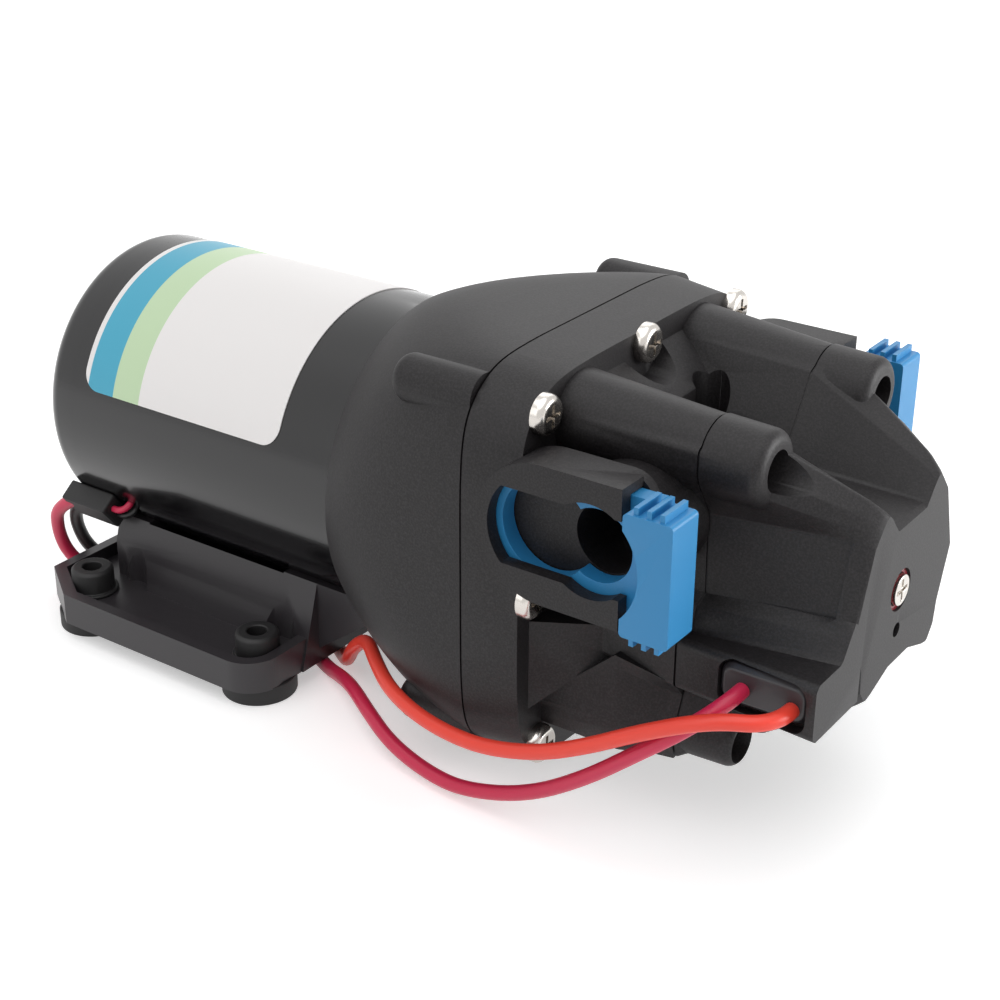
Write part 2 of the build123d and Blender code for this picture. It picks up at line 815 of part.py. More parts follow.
pad_start = diaphragm_offset - diaphragm_seat
with BuildPart() as wobble_plate:
    with BuildSketch(tilted_plane(-half_ring)):
        Circle(plate_rim_radius)
        Circle(outer_ring_radius, mode=Mode.SUBTRACT)
    extrude(amount=ring_width)
    with BuildSketch(tilted_plane(half_ring)):
        Circle(plate_rim_radius)
        Circle(outer_ring_inner + cage_thickness, mode=Mode.SUBTRACT)
        with Locations(*lobe_places):
            Circle(post_radius)
    extrude(amount=plate_web)
    with BuildSketch(tilted_plane(half_ring)):
        with Locations(*lobe_places):
            Circle(post_radius)
    extrude(amount=pad_start - half_ring)
    with BuildSketch(tilted_plane(pad_start)):
        with Locations(*lobe_places):
            Circle(piston_screw_radius + running_gap)
    extrude(amount=-(pad_start - half_ring - plate_web), mode=Mode.SUBTRACT)
wobble_plate.part.label = "wobble_plate"
export_step(wobble_plate.part, "parts/wobble_plate.step")

with BuildPart() as diaphragm_pads:
    with BuildSketch(tilted_plane(pad_start)):
        with Locations(*lobe_places):
            Circle(piston_pad_radius)
            Circle(piston_screw_radius, mode=Mode.SUBTRACT)
    extrude(amount=diaphragm_thickness)
diaphragm_pads.part.label = "diaphragm_pads"
export_step(diaphragm_pads.part, "parts/diaphragm_pads.step")

cap_start = pad_start + diaphragm_thickness
with BuildPart() as piston_caps:
    with BuildSketch(tilted_plane(cap_start)):
        with Locations(*lobe_places):
            Circle(piston_cap_radius)
    extrude(amount=piston_cap_thickness)
    cap_axis = Axis((wobble_x, 0, axis_height), tilted_plane(0).z_dir)
    cap_rims = piston_caps.edges().filter_by(GeomType.CIRCLE).group_by(cap_axis)[-1]
    chamfer(cap_rims, piston_cap_thickness * 0.3)
    with BuildSketch(tilted_plane(cap_start)):
        with Locations(*lobe_places):
            Circle(piston_screw_radius)
    extrude(amount=piston_cap_thickness, mode=Mode.SUBTRACT)
    with BuildSketch(tilted_plane(cap_start + piston_cap_thickness / 2)):
        with Locations(*lobe_places):
            Circle(piston_screw_head)
    extrude(amount=piston_cap_thickness, mode=Mode.SUBTRACT)
piston_caps.part.label = "piston_caps"
export_step(piston_caps.part, "parts/piston_caps.step")

with BuildPart() as piston_screws:
    with BuildSketch(tilted_plane(cap_start + piston_cap_thickness / 2)):
        with Locations(*lobe_places):
            Circle(piston_screw_head)
    extrude(amount=piston_cap_thickness / 2)
    with BuildSketch(tilted_plane(cap_start + piston_cap_thickness / 2)):
        with Locations(*lobe_places):
            Circle(piston_screw_radius)
    extrude(amount=-(diaphragm_thickness + piston_cap_thickness * 2))
piston_screws.part.label = "piston_screws"
export_step(piston_screws.part, "parts/piston_screws.step")

# Diaphragm, valve plate, valves and seal

with BuildPart() as diaphragm:
    with BuildSketch(cross_plane(dome_front_x - diaphragm_seat)):
        rounded_outline(diaphragm_half, diaphragm_half, cavity_power)
        with Locations(*lobe_places):
            Circle(diaphragm_hole, mode=Mode.SUBTRACT)
    extrude(amount=diaphragm_thickness)
diaphragm.part.label = "diaphragm"
export_step(diaphragm.part, "parts/diaphragm.step")

valve_plate_x = dome_front_x + diaphragm_seat
valve_front_x = valve_plate_x + valve_plate_thickness
chamber_floor_x = valve_plate_x + chamber_depth
recess_floor_x = valve_front_x - outlet_recess_depth
outlet_side = outlet_hole_circle / sqrt(2)
outlet_places = [(y, z) for y in (outlet_side, -outlet_side) for z in (outlet_side, -outlet_side)]
with BuildPart() as valve_plate:
    with BuildSketch(cross_plane(valve_plate_x)):
        rounded_outline(diaphragm_half, diaphragm_half, cavity_power)
    extrude(amount=valve_plate_thickness)
    with BuildSketch(cross_plane(valve_plate_x)):
        with Locations(*lobe_places):
            Circle(lobe_radius)
    extrude(amount=chamber_depth, mode=Mode.SUBTRACT)
    with BuildSketch(cross_plane(valve_front_x)):
        Circle(outlet_recess_radius)
    extrude(amount=-outlet_recess_depth, mode=Mode.SUBTRACT)
    with BuildSketch(cross_plane(valve_plate_x)):
        Circle(valve_stem_radius)
        with Locations(*lobe_places):
            Circle(valve_stem_radius)
            with PolarLocations(inlet_hole_circle, 4):
                Circle(inlet_hole_radius)
        with Locations(*outlet_places):
            Circle(outlet_hole_radius)
    extrude(amount=valve_plate_thickness, mode=Mode.SUBTRACT)
valve_plate.part.label = "valve_plate"
export_step(valve_plate.part, "parts/valve_plate.step")

with BuildPart() as inlet_valves:
    with BuildSketch(cross_plane(chamber_floor_x)):
        with Locations(*lobe_places):
            Circle(inlet_disc_radius)
    extrude(amount=-valve_disc_thickness)
    with BuildSketch(cross_plane(chamber_floor_x)):
        with Locations(*lobe_places):
            Circle(valve_stem_radius)
    extrude(amount=valve_front_x - chamber_floor_x)
inlet_valves.part.label = "inlet_valves"
export_step(inlet_valves.part, "parts/inlet_valves.step")

with BuildPart() as outlet_valve:
    with BuildSketch(cross_plane(recess_floor_x)):
        Circle(outlet_disc_radius)
    extrude(amount=valve_disc_thickness)
    with BuildSketch(cross_plane(recess_floor_x)):
        Circle(valve_stem_radius)
    extrude(amount=-(recess_floor_x - valve_plate_x - loose_gap))
outlet_valve.part.label = "outlet_valve"
export_step(outlet_valve.part, "parts/outlet_valve.step")

seal_front_x = valve_front_x + seal_thickness
seal_inner = diaphragm_half - seal_width
with BuildPart() as head_seal:
    with BuildSketch(cross_plane(valve_front_x)):
        rounded_outline(diaphragm_half, diaphragm_half, cavity_power)
    extrude(amount=seal_thickness)
    with BuildSketch(cross_plane(valve_front_x)):
        rounded_outline(seal_inner, seal_inner, cavity_power)
    extrude(amount=seal_thickness, mode=Mode.SUBTRACT)
    with BuildSketch(cross_plane(valve_front_x)):
        Circle(seal_centre_radius)
        Circle(seal_centre_radius - seal_width, mode=Mode.SUBTRACT)
    extrude(amount=seal_thickness)
head_seal.part.label = "head_seal"
export_step(head_seal.part, "parts/head_seal.step")

# Port housing: flange, tapered body with horns, and two port collars

seam_shares = ((0.164, 0.505), (0.49, 0.914), (0.735, 1.0), (1.0, 0.88), (1.0, 0.764),
               (0.818, 0.507), (0.798, 0.046), (1.0, -0.405), (1.131, -0.655), (1.083, -0.792),
               (0.595, -0.706), (0.164, -0.324))
front_shares = ((0.3, 0.754), (0.464, 0.93), (0.544, 0.993), (0.64, 0.91), (0.712, 0.836),
                (0.772, 0.772), (1.0, 0.149), (0.82, -0.336), (0.79, -0.56), (0.68, -0.694),
                (0.56, -0.672), (0.216, -0.56))
step_shares = (0, 0, 0, 0, 0, 0.5, 1, 1, 0.5, 0, 0, 0)
cheek_root_shares = ((0.774, -0.694), (1.155, -0.694), (1.155, -0.73), (1.155, -0.775), (1.137, -0.861),
                     (0.774, -0.861))
cheek_middle_shares = ((0.774, -0.278), (1.155, -0.278), (1.155, -0.567), (1.155, -0.718),
                       (1.107, -0.856), (0.774, -0.856))
cheek_seam_shares = ((0.774, -0.336), (1.137, -0.336), (0.995, -0.463), (1.131, -0.655), (1.089, -0.789),
                     (0.774, -0.764))
block_root_shares = ((0.5, 0.2), (0.66, 0.28), (0.74, 0.06), (0.775, -0.5), (0.8, -0.62), (0.85, -0.7),
                     (0.85, -1.56), (0.5, -1.56))
block_seam_shares = ((0.5, 0.2), (0.66, 0.3), (0.75, 0.1), (0.79, -0.34), (0.81, -0.42), (0.965, -0.26),
                     (0.965, -1.56), (0.5, -1.56))
block_front_shares = ((0.5, 0.2), (0.615, 0.54), (0.67, 0.24), (0.73, -0.12), (0.76, -0.19),
                      (1.025, -0.19), (1.025, -1.56), (0.5, -1.56))
seam_points = [(body_half * across, body_top * up) for across, up in seam_shares]
front_points = [(front_half * across, front_top * up) for across, up in front_shares]
share_back = 1 - face_plate / cover_length
edge_points = [(near + (far - near) * share_back, low + (high - low) * share_back)
               for (near, low), (far, high) in zip(seam_points, front_points)]
wall_points = [(y - face_step * step, z) for (y, z), step in zip(edge_points, step_shares)]


def mirrored_outline(points, spread, corner):
    # A closed outline, the same on both sides of the pump, with softened corners.
    right = [(y * spread, z * spread) for y, z in points]
    left = [(-y, z) for y, z in reversed(right)]
    with BuildLine() as outline:
        Polyline(*right, *left, close=True)
    make_face(outline.edges())
    fillet(vertices(), corner)


def block_outline(shares, spread):
    # Section of the block on the near side, with a ledge where it leaves the body.
    points = [(-block_face * out * spread, block_depth * up * spread) for out, up in shares]
    with BuildLine() as outline:
        Polyline(*points, close=True)
    make_face(outline.edges())
    outer = vertices().group_by(Axis.X)[0]
    fillet(outer, block_corner)


def cheek_outline(shares):
    # Section of the cheek that joins the near block to the flange's lower corner.
    with BuildLine() as outline:
        Polyline(*[(-body_half * out, body_top * up) for out, up in shares], close=True)
    make_face(outline.edges())


def side_plane(side, y):
    # A plane facing out of the near side, 1, or the far side, -1, centred on the port axis.
    return Plane(origin=(port_x, -side * y, port_z), x_dir=(1, 0, 0), z_dir=(0, -side, 0))


def back_wall(radius, reach):
    # The collar's inner wall: a round end, and rounded corners at the front.
    with Locations(((reach - collar_centre_back) / 2, 0)):
        Rectangle(reach + collar_centre_back, radius * 2)
    fillet(vertices().group_by(Axis.X)[-1], collar_back_corner)
    with Locations((-collar_centre_back, 0)):
        Circle(radius)


def open_slot(radius, reach):
    # A round end around the collar centre that runs on to a square end at the front.
    with Locations((-collar_centre_back, 0)):
        Circle(radius)
    with Locations(((reach - collar_centre_back) / 2, 0)):
        Rectangle(reach + collar_centre_back, radius * 2)


upper_horns = [(horn_y, horn_z), (-horn_y, horn_z)]
lower_horns = [(low_horn_y, low_horn_z), (-low_horn_y, low_horn_z)]
slot_outer = collar_face - collar_front_wall
slot_inner = slot_outer - clip_slot
collar_back = slot_inner - collar_back_wall
slot_radius = collar_radius - collar_wall
long_seat_x = horn_end_x - long_recess_depth
chamber_end_x = seam_x - outlet_chamber_end
diaphragm_recess_x = seam_x - switch_diaphragm_thickness
groove_x = seam_x - joint_groove
groove_spread = 1 - joint_groove / body_half
face_spread = 1 - face_round / front_half

with BuildPart() as port_housing:
    rim_x = dome_front_x + joint_groove
    for start_x, end_x, start, end in ((dome_front_x, rim_x, joint_groove, 0),
                                       (rim_x, flange_front_x, 0, flange_draft)):
        for x, draft in ((start_x, start), (end_x, end)):
            with BuildSketch(cross_plane(x)):
                rounded_outline(head_half_width - draft, head_half_height - draft, head_power)
        loft()
    for x, spread in ((flange_front_x - body_root, body_spread), (groove_x, 1)):
        with BuildSketch(cross_plane(x)):
            mirrored_outline(seam_points, spread, body_corner)
    loft()
    for side in (1, -1):
        with BuildSketch(cross_plane(flange_front_x)):
            with Locations((side * horn_root_y, horn_root_z)):
                Circle(horn_root_radius)
        with BuildSketch(cross_plane(groove_x)):
            with Locations((side * horn_y, horn_z)):
                Circle(horn_radius - joint_groove / 2)
        loft()
    with BuildSketch(cross_plane(flange_front_x)):
        with Locations(*lower_horns):
            Circle(low_horn_radius)
    extrude(amount=mid_length - joint_groove)
    for x, shares in ((flange_front_x - body_root, block_root_shares), (groove_x, block_seam_shares)):
        with BuildSketch(cross_plane(x)):
            block_outline(shares, 1)
    loft()
    with BuildSketch(cross_plane(groove_x)):
        mirrored_outline(seam_points, groove_spread, body_corner)
        with Locations(*upper_horns):
            Circle(horn_radius - joint_groove * 1.5)
        with Locations(*lower_horns):
            Circle(low_horn_radius - joint_groove)
    extrude(amount=joint_groove)
    with BuildSketch(cross_plane(groove_x)):
        block_outline(block_seam_shares, groove_spread)
    extrude(amount=joint_groove)
    with BuildSketch(Plane.XZ.offset(-web_half)):
        with BuildLine() as web_edge:
            Polyline((flange_front_x - body_root, axis_height + web_top),
                     (flange_front_x + web_length, axis_height + web_end),
                     (flange_front_x + web_length, axis_height), (flange_front_x - body_root, axis_height),
                     close=True)
        make_face(web_edge.edges())
    extrude(amount=web_half * 2)
    with BuildSketch(cross_plane(flange_front_x)):
        with Locations((0, screw_mid_height)):
            Circle(screw_notch)
    extrude(amount=web_length + overrun, mode=Mode.SUBTRACT)
    for side in (1, -1):
        with BuildSketch(Plane.XY.offset(axis_height + ramp_bottom)):
            with BuildLine() as ramp_edge:
                Polyline((flange_front_x - body_root, side * ramp_inner),
                         (flange_front_x - body_root, side * ramp_face),
                         (flange_front_x, side * ramp_face),
                         (flange_front_x + ramp_length, side * body_half),
                         (flange_front_x + ramp_length, side * ramp_inner), close=True)
            make_face(ramp_edge.edges())
        ramp = extrude(amount=ramp_top - ramp_bottom, mode=Mode.PRIVATE)
        with BuildSketch(Plane.XZ.offset(-ramp_face - overrun)):
            with BuildLine() as ramp_cut:
                Polyline((flange_front_x - body_root, axis_height - ramp_cut_rear),
                         (flange_front_x + cheek_length, axis_height - ramp_cut_front),
                         (flange_front_x + cheek_length, 0), (flange_front_x - body_root, 0), close=True)
            make_face(ramp_cut.edges())
        below = extrude(amount=(ramp_face + overrun) * 2, mode=Mode.PRIVATE)
        add(ramp - below)
    cheek_x = flange_front_x + cheek_length
    for start_x, end_x, start, end in ((flange_front_x - body_root, cheek_x, cheek_root_shares,
                                        cheek_middle_shares),
                                       (cheek_x, groove_x, cheek_middle_shares, cheek_seam_shares)):
        for x, shares in ((start_x, start), (end_x, end)):
            with BuildSketch(cross_plane(x)):
                cheek_outline(shares)
        loft()
    with BuildSketch(cross_plane(flange_front_x)):
        with Locations(*corner_screws):
            Circle(screw_head_radius + loose_gap)
    extrude(amount=mid_length, mode=Mode.SUBTRACT)
    with BuildSketch(Plane(origin=(port_x, valley_tube_half, port_z), x_dir=(1, 0, 0), z_dir=(0, -1, 0))):
        Circle(valley_tube)
    extrude(amount=valley_tube_half * 2)
    boss_plane = Plane(origin=(port_x - port_boss_back, port_boss_offset, axis_height))
    with BuildSketch(boss_plane):
        Circle(port_boss_radius)
    extrude(amount=port_boss_top)
    for side in (1, -1):
        with BuildSketch(side_plane(side, port_neck_start)):
            Circle(port_neck)
        extrude(amount=collar_back - port_neck_start)
        with BuildSketch(side_plane(side, collar_back)):
            back_wall(collar_radius, collar_back_reach)
        extrude(amount=collar_back_wall)
        with BuildSketch(side_plane(side, slot_inner)):
            open_slot(collar_radius, collar_reach)
        extrude(amount=collar_face - slot_inner)
    with BuildSketch(cross_plane(dome_front_x)):
        rounded_outline(diaphragm_half + fit_gap, diaphragm_half + fit_gap, cavity_power)
    extrude(amount=seal_front_x - dome_front_x, mode=Mode.SUBTRACT)
    for side in (1, -1):
        with BuildSketch(side_plane(side, port_bore_end)):
            Circle(port_bore)
        extrude(amount=slot_inner - port_bore_end, mode=Mode.SUBTRACT)
        with BuildSketch(side_plane(side, slot_inner)):
            open_slot(slot_radius, collar_reach + overrun)
        extrude(amount=clip_slot, mode=Mode.SUBTRACT)
        with BuildSketch(side_plane(side, slot_outer)):
            with Locations((-collar_centre_back, 0)):
                Circle(slot_radius - clip_gap * 2)
            with Locations((-collar_centre_back, window_half + collar_radius),
                           (-collar_centre_back, -window_half - collar_radius)):
                Rectangle(collar_radius * 2, collar_radius * 2, mode=Mode.SUBTRACT)
            with Locations(((overrun - collar_centre_back) / 2, 0)):
                Rectangle(overrun + collar_centre_back, window_half * 2)
            Circle(window_lobe)
        extrude(amount=collar_front_wall, mode=Mode.SUBTRACT)
    with BuildSketch(cross_plane(seal_front_x)):
        with Locations((-inlet_y, inlet_z)):
            Circle(passage_radius)
    extrude(amount=port_x - seal_front_x, mode=Mode.SUBTRACT)
    with BuildSketch(cross_plane(seal_front_x)):
        Circle(outlet_chamber_radius)
    extrude(amount=chamber_end_x - seal_front_x, mode=Mode.SUBTRACT)
    with BuildSketch(Plane(origin=(port_x, riser_y, axis_height))):
        Circle(riser_radius)
    extrude(amount=riser_top, mode=Mode.SUBTRACT)
    with BuildSketch(cross_plane(chamber_end_x)):
        with Locations((switch_y, switch_z)):
            Circle(sense_radius)
    extrude(amount=outlet_chamber_end, mode=Mode.SUBTRACT)
    with BuildSketch(cross_plane(diaphragm_recess_x)):
        with Locations((switch_y, switch_z)):
            Circle(switch_diaphragm_radius)
    extrude(amount=switch_diaphragm_thickness, mode=Mode.SUBTRACT)
    with BuildSketch(cross_plane(dome_front_x)):
        with Locations(*flange_screw_places):
            Circle(flange_screw_radius + running_gap)
    extrude(amount=flange_thickness, mode=Mode.SUBTRACT)
    with BuildSketch(cross_plane(seam_x)):
        with Locations(*upper_horns, *lower_horns):
            Circle(long_screw_radius + running_gap)
    extrude(amount=long_seat_x - long_screw_length - seam_x - fit_gap, mode=Mode.SUBTRACT)
    hole_plane = Plane(origin=(flange_front_x + valley_hole_x, 0, axis_height + valley_hole_floor))
    with BuildSketch(hole_plane):
        with Locations((0, valley_hole_y), (0, -valley_hole_y)):
            Circle(valley_hole)
    extrude(amount=body_top, mode=Mode.SUBTRACT)
port_housing.part.label = "port_housing"
export_step(port_housing.part, "parts/port_housing.step")

# Port clips: a keyhole plate in the collar slot, with a ribbed handle in front

clip_inner = slot_inner + clip_gap
clip_outer = slot_outer - clip_gap
clip_radius = slot_radius - clip_gap
clip_end = clip_handle_start + clip_handle_length
rib_start = clip_handle_start + clip_handle_length / 2 - clip_rib_pitch * (clip_rib_count - 1) / 2
for side, clip_name in ((1, "port_clip_near"), (-1, "port_clip_far")):
    with BuildPart() as port_clip:
        with BuildSketch(side_plane(side, clip_inner)):
            open_slot(clip_radius, clip_handle_start + clip_rib_pitch)
            with Locations((-clip_travel, 0)):
                Circle(clip_release_lobe, mode=Mode.SUBTRACT)
            Circle(clip_lobe, mode=Mode.SUBTRACT)
        extrude(amount=clip_outer - clip_inner)
        with BuildSketch(side_plane(side, clip_handle_inner)) as handle:
            with Locations((clip_handle_start + clip_handle_length / 2, 0)):
                Rectangle(clip_handle_length, clip_handle_half * 2)
            fillet(handle.vertices(), clip_corner)
            Circle(clip_scallop, mode=Mode.SUBTRACT)
        extrude(amount=clip_handle_outer - clip_handle_inner)
        with BuildSketch(side_plane(side, clip_handle_inner + clip_rib_margin)):
            for rib in range(clip_rib_count):
                with Locations((rib_start + clip_rib_pitch * rib, 0)):
                    Rectangle(clip_rib_width, (clip_handle_half + clip_rib_height) * 2)
            Rectangle(clip_end * 2, clip_handle_half * 2 - clip_rib_width, mode=Mode.SUBTRACT)
        extrude(amount=clip_handle_outer - clip_handle_inner - clip_rib_margin * 2)
        pocket_width = clip_end - clip_scallop - clip_pocket_margin * 2
        with BuildSketch(side_plane(side, clip_handle_inner)):
            with Locations((clip_scallop + clip_pocket_margin + pocket_width / 2, 0)):
                Rectangle(pocket_width, (clip_handle_half - clip_pocket_margin * 2) * 2)
        extrude(amount=clip_pocket_depth, mode=Mode.SUBTRACT)
    port_clip.part.label = clip_name
    export_step(port_clip.part, "parts/" + clip_name + ".step")

# Front cover over the pressure switch

cavity_x = seam_x + plunger_flange_thickness * 2
cavity_end_x = cover_front_x - cover_wall
plate_centre_x = seam_x + plate_start + plate_length / 2
plate_middle = axis_height + (block_top + block_bottom) / 2
plate_height = block_top - block_bottom - switch_plate_lip * 2 - plate_slot * 2
switch_point = (switch_y, switch_z)
horn_taper = degrees(atan2(horn_radius - horn_end_radius, cover_horn_length))
with BuildPart() as cover_horns:
    with BuildSketch(cross_plane(seam_x)):
        with Locations(*upper_horns):
            Circle(horn_radius)
        with Locations(*lower_horns):
            Circle(low_horn_radius)
    extrude(amount=cover_horn_length, taper=horn_taper)
    noses = cover_horns.edges().filter_by(GeomType.CIRCLE).group_by(Axis.X)[-1]
    fillet(noses, horn_nose)

with BuildPart() as front_cover:
    with BuildSketch(cross_plane(seam_x)):
        mirrored_outline(seam_points, 1, body_corner)
    with BuildSketch(cross_plane(cover_front_x - face_plate)):
        mirrored_outline(wall_points, 1, front_corner)
    loft()
    with BuildSketch(cross_plane(cover_front_x - face_plate)):
        mirrored_outline(edge_points, 1, front_corner)
    with BuildSketch(cross_plane(cover_front_x - face_round)):
        mirrored_outline(front_points, 1, front_corner)
    loft()
    with BuildSketch(cross_plane(cover_front_x - face_round)):
        mirrored_outline(front_points, 1, front_corner)
    with BuildSketch(cross_plane(cover_front_x)):
        mirrored_outline(front_points, face_spread, front_corner)
    loft()
    for x, shares in ((seam_x, block_seam_shares), (cover_front_x, block_front_shares)):
        with BuildSketch(cross_plane(x)):
            block_outline(shares, 1)
    loft()
    add(cover_horns.part)
    with BuildSketch(cross_plane(long_seat_x)):
        with Locations(*upper_horns, *lower_horns):
            Circle(long_recess_radius)
    extrude(amount=cover_length, mode=Mode.SUBTRACT)
    with BuildSketch(cross_plane(seam_x)):
        with Locations(*upper_horns, *lower_horns):
            Circle(long_screw_radius + fit_gap)
    extrude(amount=cover_horn_length, mode=Mode.SUBTRACT)
    with BuildSketch(cross_plane(seam_x)):
        with Locations(switch_point):
            Circle(plunger_flange_radius + plunger_travel)
    extrude(amount=cavity_x - seam_x, mode=Mode.SUBTRACT)
    cavity_height = cover_cavity_top - cover_cavity_bottom
    with BuildSketch(cross_plane(cavity_x)):
        with Locations((0, cover_cavity_bottom + cavity_height / 2)):
            Rectangle(cover_cavity_half * 2, cavity_height)
    extrude(amount=cavity_end_x - cavity_x, mode=Mode.SUBTRACT)
    with BuildSketch(near_plane(cover_cavity_half - fit_gap)):
        with Locations((plate_centre_x, plate_middle)):
            Rectangle(plate_length - block_roof * 2, plate_height - block_roof * 2)
    extrude(amount=block_inner - cover_cavity_half, mode=Mode.SUBTRACT)
    with BuildSketch(near_plane(block_inner)) as opening:
        with Locations((plate_centre_x, plate_middle)):
            Rectangle(plate_length, plate_height + plate_slot * 2)
        fillet(opening.vertices(), plate_corner)
    extrude(amount=overrun, mode=Mode.SUBTRACT)
    with BuildSketch(cross_plane(cover_front_x)):
        with Locations(switch_point):
            Circle(adjuster_recess_radius)
    extrude(amount=-adjuster_recess_depth, mode=Mode.SUBTRACT)
    with BuildSketch(cross_plane(cover_front_x)):
        with Locations(switch_point):
            Circle(adjuster_radius + running_gap)
    extrude(amount=-cover_length, mode=Mode.SUBTRACT)
    with BuildSketch(cross_plane(cover_front_x)):
        with Locations((switch_y, switch_z - bleed_drop)):
            Circle(bleed_radius)
    extrude(amount=-cover_wall / 2, mode=Mode.SUBTRACT)
front_cover.part.label = "front_cover"
export_step(front_cover.part, "parts/front_cover.step")

with BuildPart() as switch_plate:
    with BuildSketch(near_plane(block_inner)) as plate_face:
        with Locations((plate_centre_x, plate_middle)):
            Rectangle(plate_length - fit_gap * 2, plate_height - fit_gap * 2)
        fillet(plate_face.vertices(), plate_corner - fit_gap)
    extrude(amount=switch_plate_thickness)
    top_edge = switch_plate.edges().filter_by(Axis.X).group_by(Axis.Y)[0].group_by(Axis.Z)[-1]
    chamfer(top_edge, plate_bevel)
switch_plate.part.label = "switch_plate"
export_step(switch_plate.part, "parts/switch_plate.step")

with BuildPart() as long_screws:
    pan_screws(long_seat_x, upper_horns + lower_horns, long_screw_radius, long_screw_length,
               long_head_radius, long_head_height)
long_screws.part.label = "long_screws"
export_step(long_screws.part, "parts/long_screws.step")

# Pressure switch inside the cover

with BuildPart() as switch_diaphragm:
    with BuildSketch(cross_plane(diaphragm_recess_x)):
        with Locations(switch_point):
            Circle(switch_diaphragm_radius)
    extrude(amount=switch_diaphragm_thickness)
switch_diaphragm.part.label = "switch_diaphragm"
export_step(switch_diaphragm.part, "parts/switch_diaphragm.step")

plunger_face_x = seam_x + plunger_flange_thickness
seat_x = plunger_face_x + plunger_stem_length + plunger_travel * 3
with BuildPart() as switch_plunger:
    with BuildSketch(cross_plane(seam_x)):
        with Locations(switch_point):
            Circle(plunger_flange_radius)
    extrude(amount=plunger_flange_thickness)
    with BuildSketch(cross_plane(plunger_face_x)):
        with Locations(switch_point):
            Circle(plunger_stem_radius)
    extrude(amount=plunger_stem_length)
switch_plunger.part.label = "switch_plunger"
export_step(switch_plunger.part, "parts/switch_plunger.step")

spring_start_x = plunger_face_x + plunger_travel + loose_gap
with BuildPart() as switch_spring:
    with BuildSketch(cross_plane(spring_start_x)):
        with Locations(switch_point):
            Circle(switch_spring_radius)
            Circle(switch_spring_radius - switch_spring_wall, mode=Mode.SUBTRACT)
    extrude(amount=seat_x - spring_start_x)
switch_spring.part.label = "switch_spring"
export_step(switch_spring.part, "parts/switch_spring.step")

with BuildPart() as spring_seat:
    with BuildSketch(cross_plane(seat_x)):
        with Locations(switch_point):
            Circle(spring_seat_radius)
    extrude(amount=spring_seat_thickness)
spring_seat.part.label = "spring_seat"
export_step(spring_seat.part, "parts/spring_seat.step")

adjuster_seat_x = cover_front_x - adjuster_recess_depth
adjuster_start_x = seat_x + spring_seat_thickness
with BuildPart() as adjusting_screw:
    with BuildSketch(cross_plane(adjuster_start_x)):
        with Locations(switch_point):
            Circle(adjuster_radius)
    extrude(amount=adjuster_seat_x - adjuster_start_x)
    with BuildSketch(cross_plane(adjuster_seat_x)):
        with Locations(switch_point):
            Circle(adjuster_head_radius)
    extrude(amount=adjuster_head_height)
    cross_recess(adjuster_seat_x + adjuster_head_height, [switch_point], adjuster_head_height / 2)
adjusting_screw.part.label = "adjusting_screw"
export_step(adjusting_screw.part, "parts/adjusting_screw.step")

with BuildPart() as thread_sealant:
    with BuildSketch(cross_plane(adjuster_seat_x)):
        with Locations(switch_point):
            Circle(adjuster_recess_radius)
            Circle(adjuster_head_radius + loose_gap, mode=Mode.SUBTRACT)
    extrude(amount=sealant_height)
thread_sealant.part.label = "thread_sealant"
export_step(thread_sealant.part, "parts/thread_sealant.step")

microswitch_inner = spring_seat_radius + loose_gap * 2 - switch_y
microswitch_width = cover_cavity_half - microswitch_inner
microswitch_x = plunger_face_x + button_length
button_y = microswitch_inner + button_radius * 2
with BuildPart() as microswitch:
    with BuildSketch(cross_plane(microswitch_x)):
        with Locations((-microswitch_inner - microswitch_width / 2, switch_z)):
            Rectangle(microswitch_width, microswitch_height)
    extrude(amount=microswitch_length)
    with BuildSketch(cross_plane(microswitch_x)):
        with Locations((-button_y, switch_z)):
            Circle(button_radius + fit_gap)
    extrude(amount=button_length, mode=Mode.SUBTRACT)
microswitch.part.label = "microswitch"
export_step(microswitch.part, "parts/microswitch.step")

with BuildPart() as switch_button:
    with BuildSketch(cross_plane(plunger_face_x)):
        with Locations((-button_y, switch_z)):
            Circle(button_radius)
    extrude(amount=button_length + button_radius)
switch_button.part.label = "switch_button"
export_step(switch_button.part, "parts/switch_button.step")

# Base: a tray with a saddle under the motor

feet = [(x, y) for x in (foot_spacing_x / 2, -foot_spacing_x / 2)
        for y in (foot_spacing_y / 2, -foot_spacing_y / 2)]
wall_slope = (wall_foot_y - wall_top_y) / (wall_top - tray_floor)


def tray_outline(inset):
    # The tray seen from above: cut corners behind, rounded corners in front.
    rear = tray_rear + inset
    front = tray_front - inset
    half = tray_half - inset
    cut_x = tray_rear_chamfer_x - inset * 0.4
    cut_y = tray_rear_chamfer_y - inset * 0.4
    with BuildLine() as outline:
        Polyline((rear, half - cut_y), (rear + cut_x, half), (front, half), (front, -half),
                 (rear + cut_x, -half), (rear, -half + cut_y), close=True)
    make_face(outline.edges())
    fillet(vertices().group_by(Axis.X)[-1], tray_front_radius - inset)


def saddle_outline(inset, bottom, top):
    # Section of the saddle: walls that lean inwards, drawn across the motor axis.
    low_half = wall_foot_y - inset + (tray_floor - bottom) * wall_slope
    high_half = wall_foot_y - inset + (tray_floor - top) * wall_slope
    with BuildLine() as outline:
        Polyline((low_half, bottom - axis_height), (high_half, top - axis_height),
                 (-high_half, top - axis_height), (-low_half, bottom - axis_height), close=True)
    make_face(outline.edges())


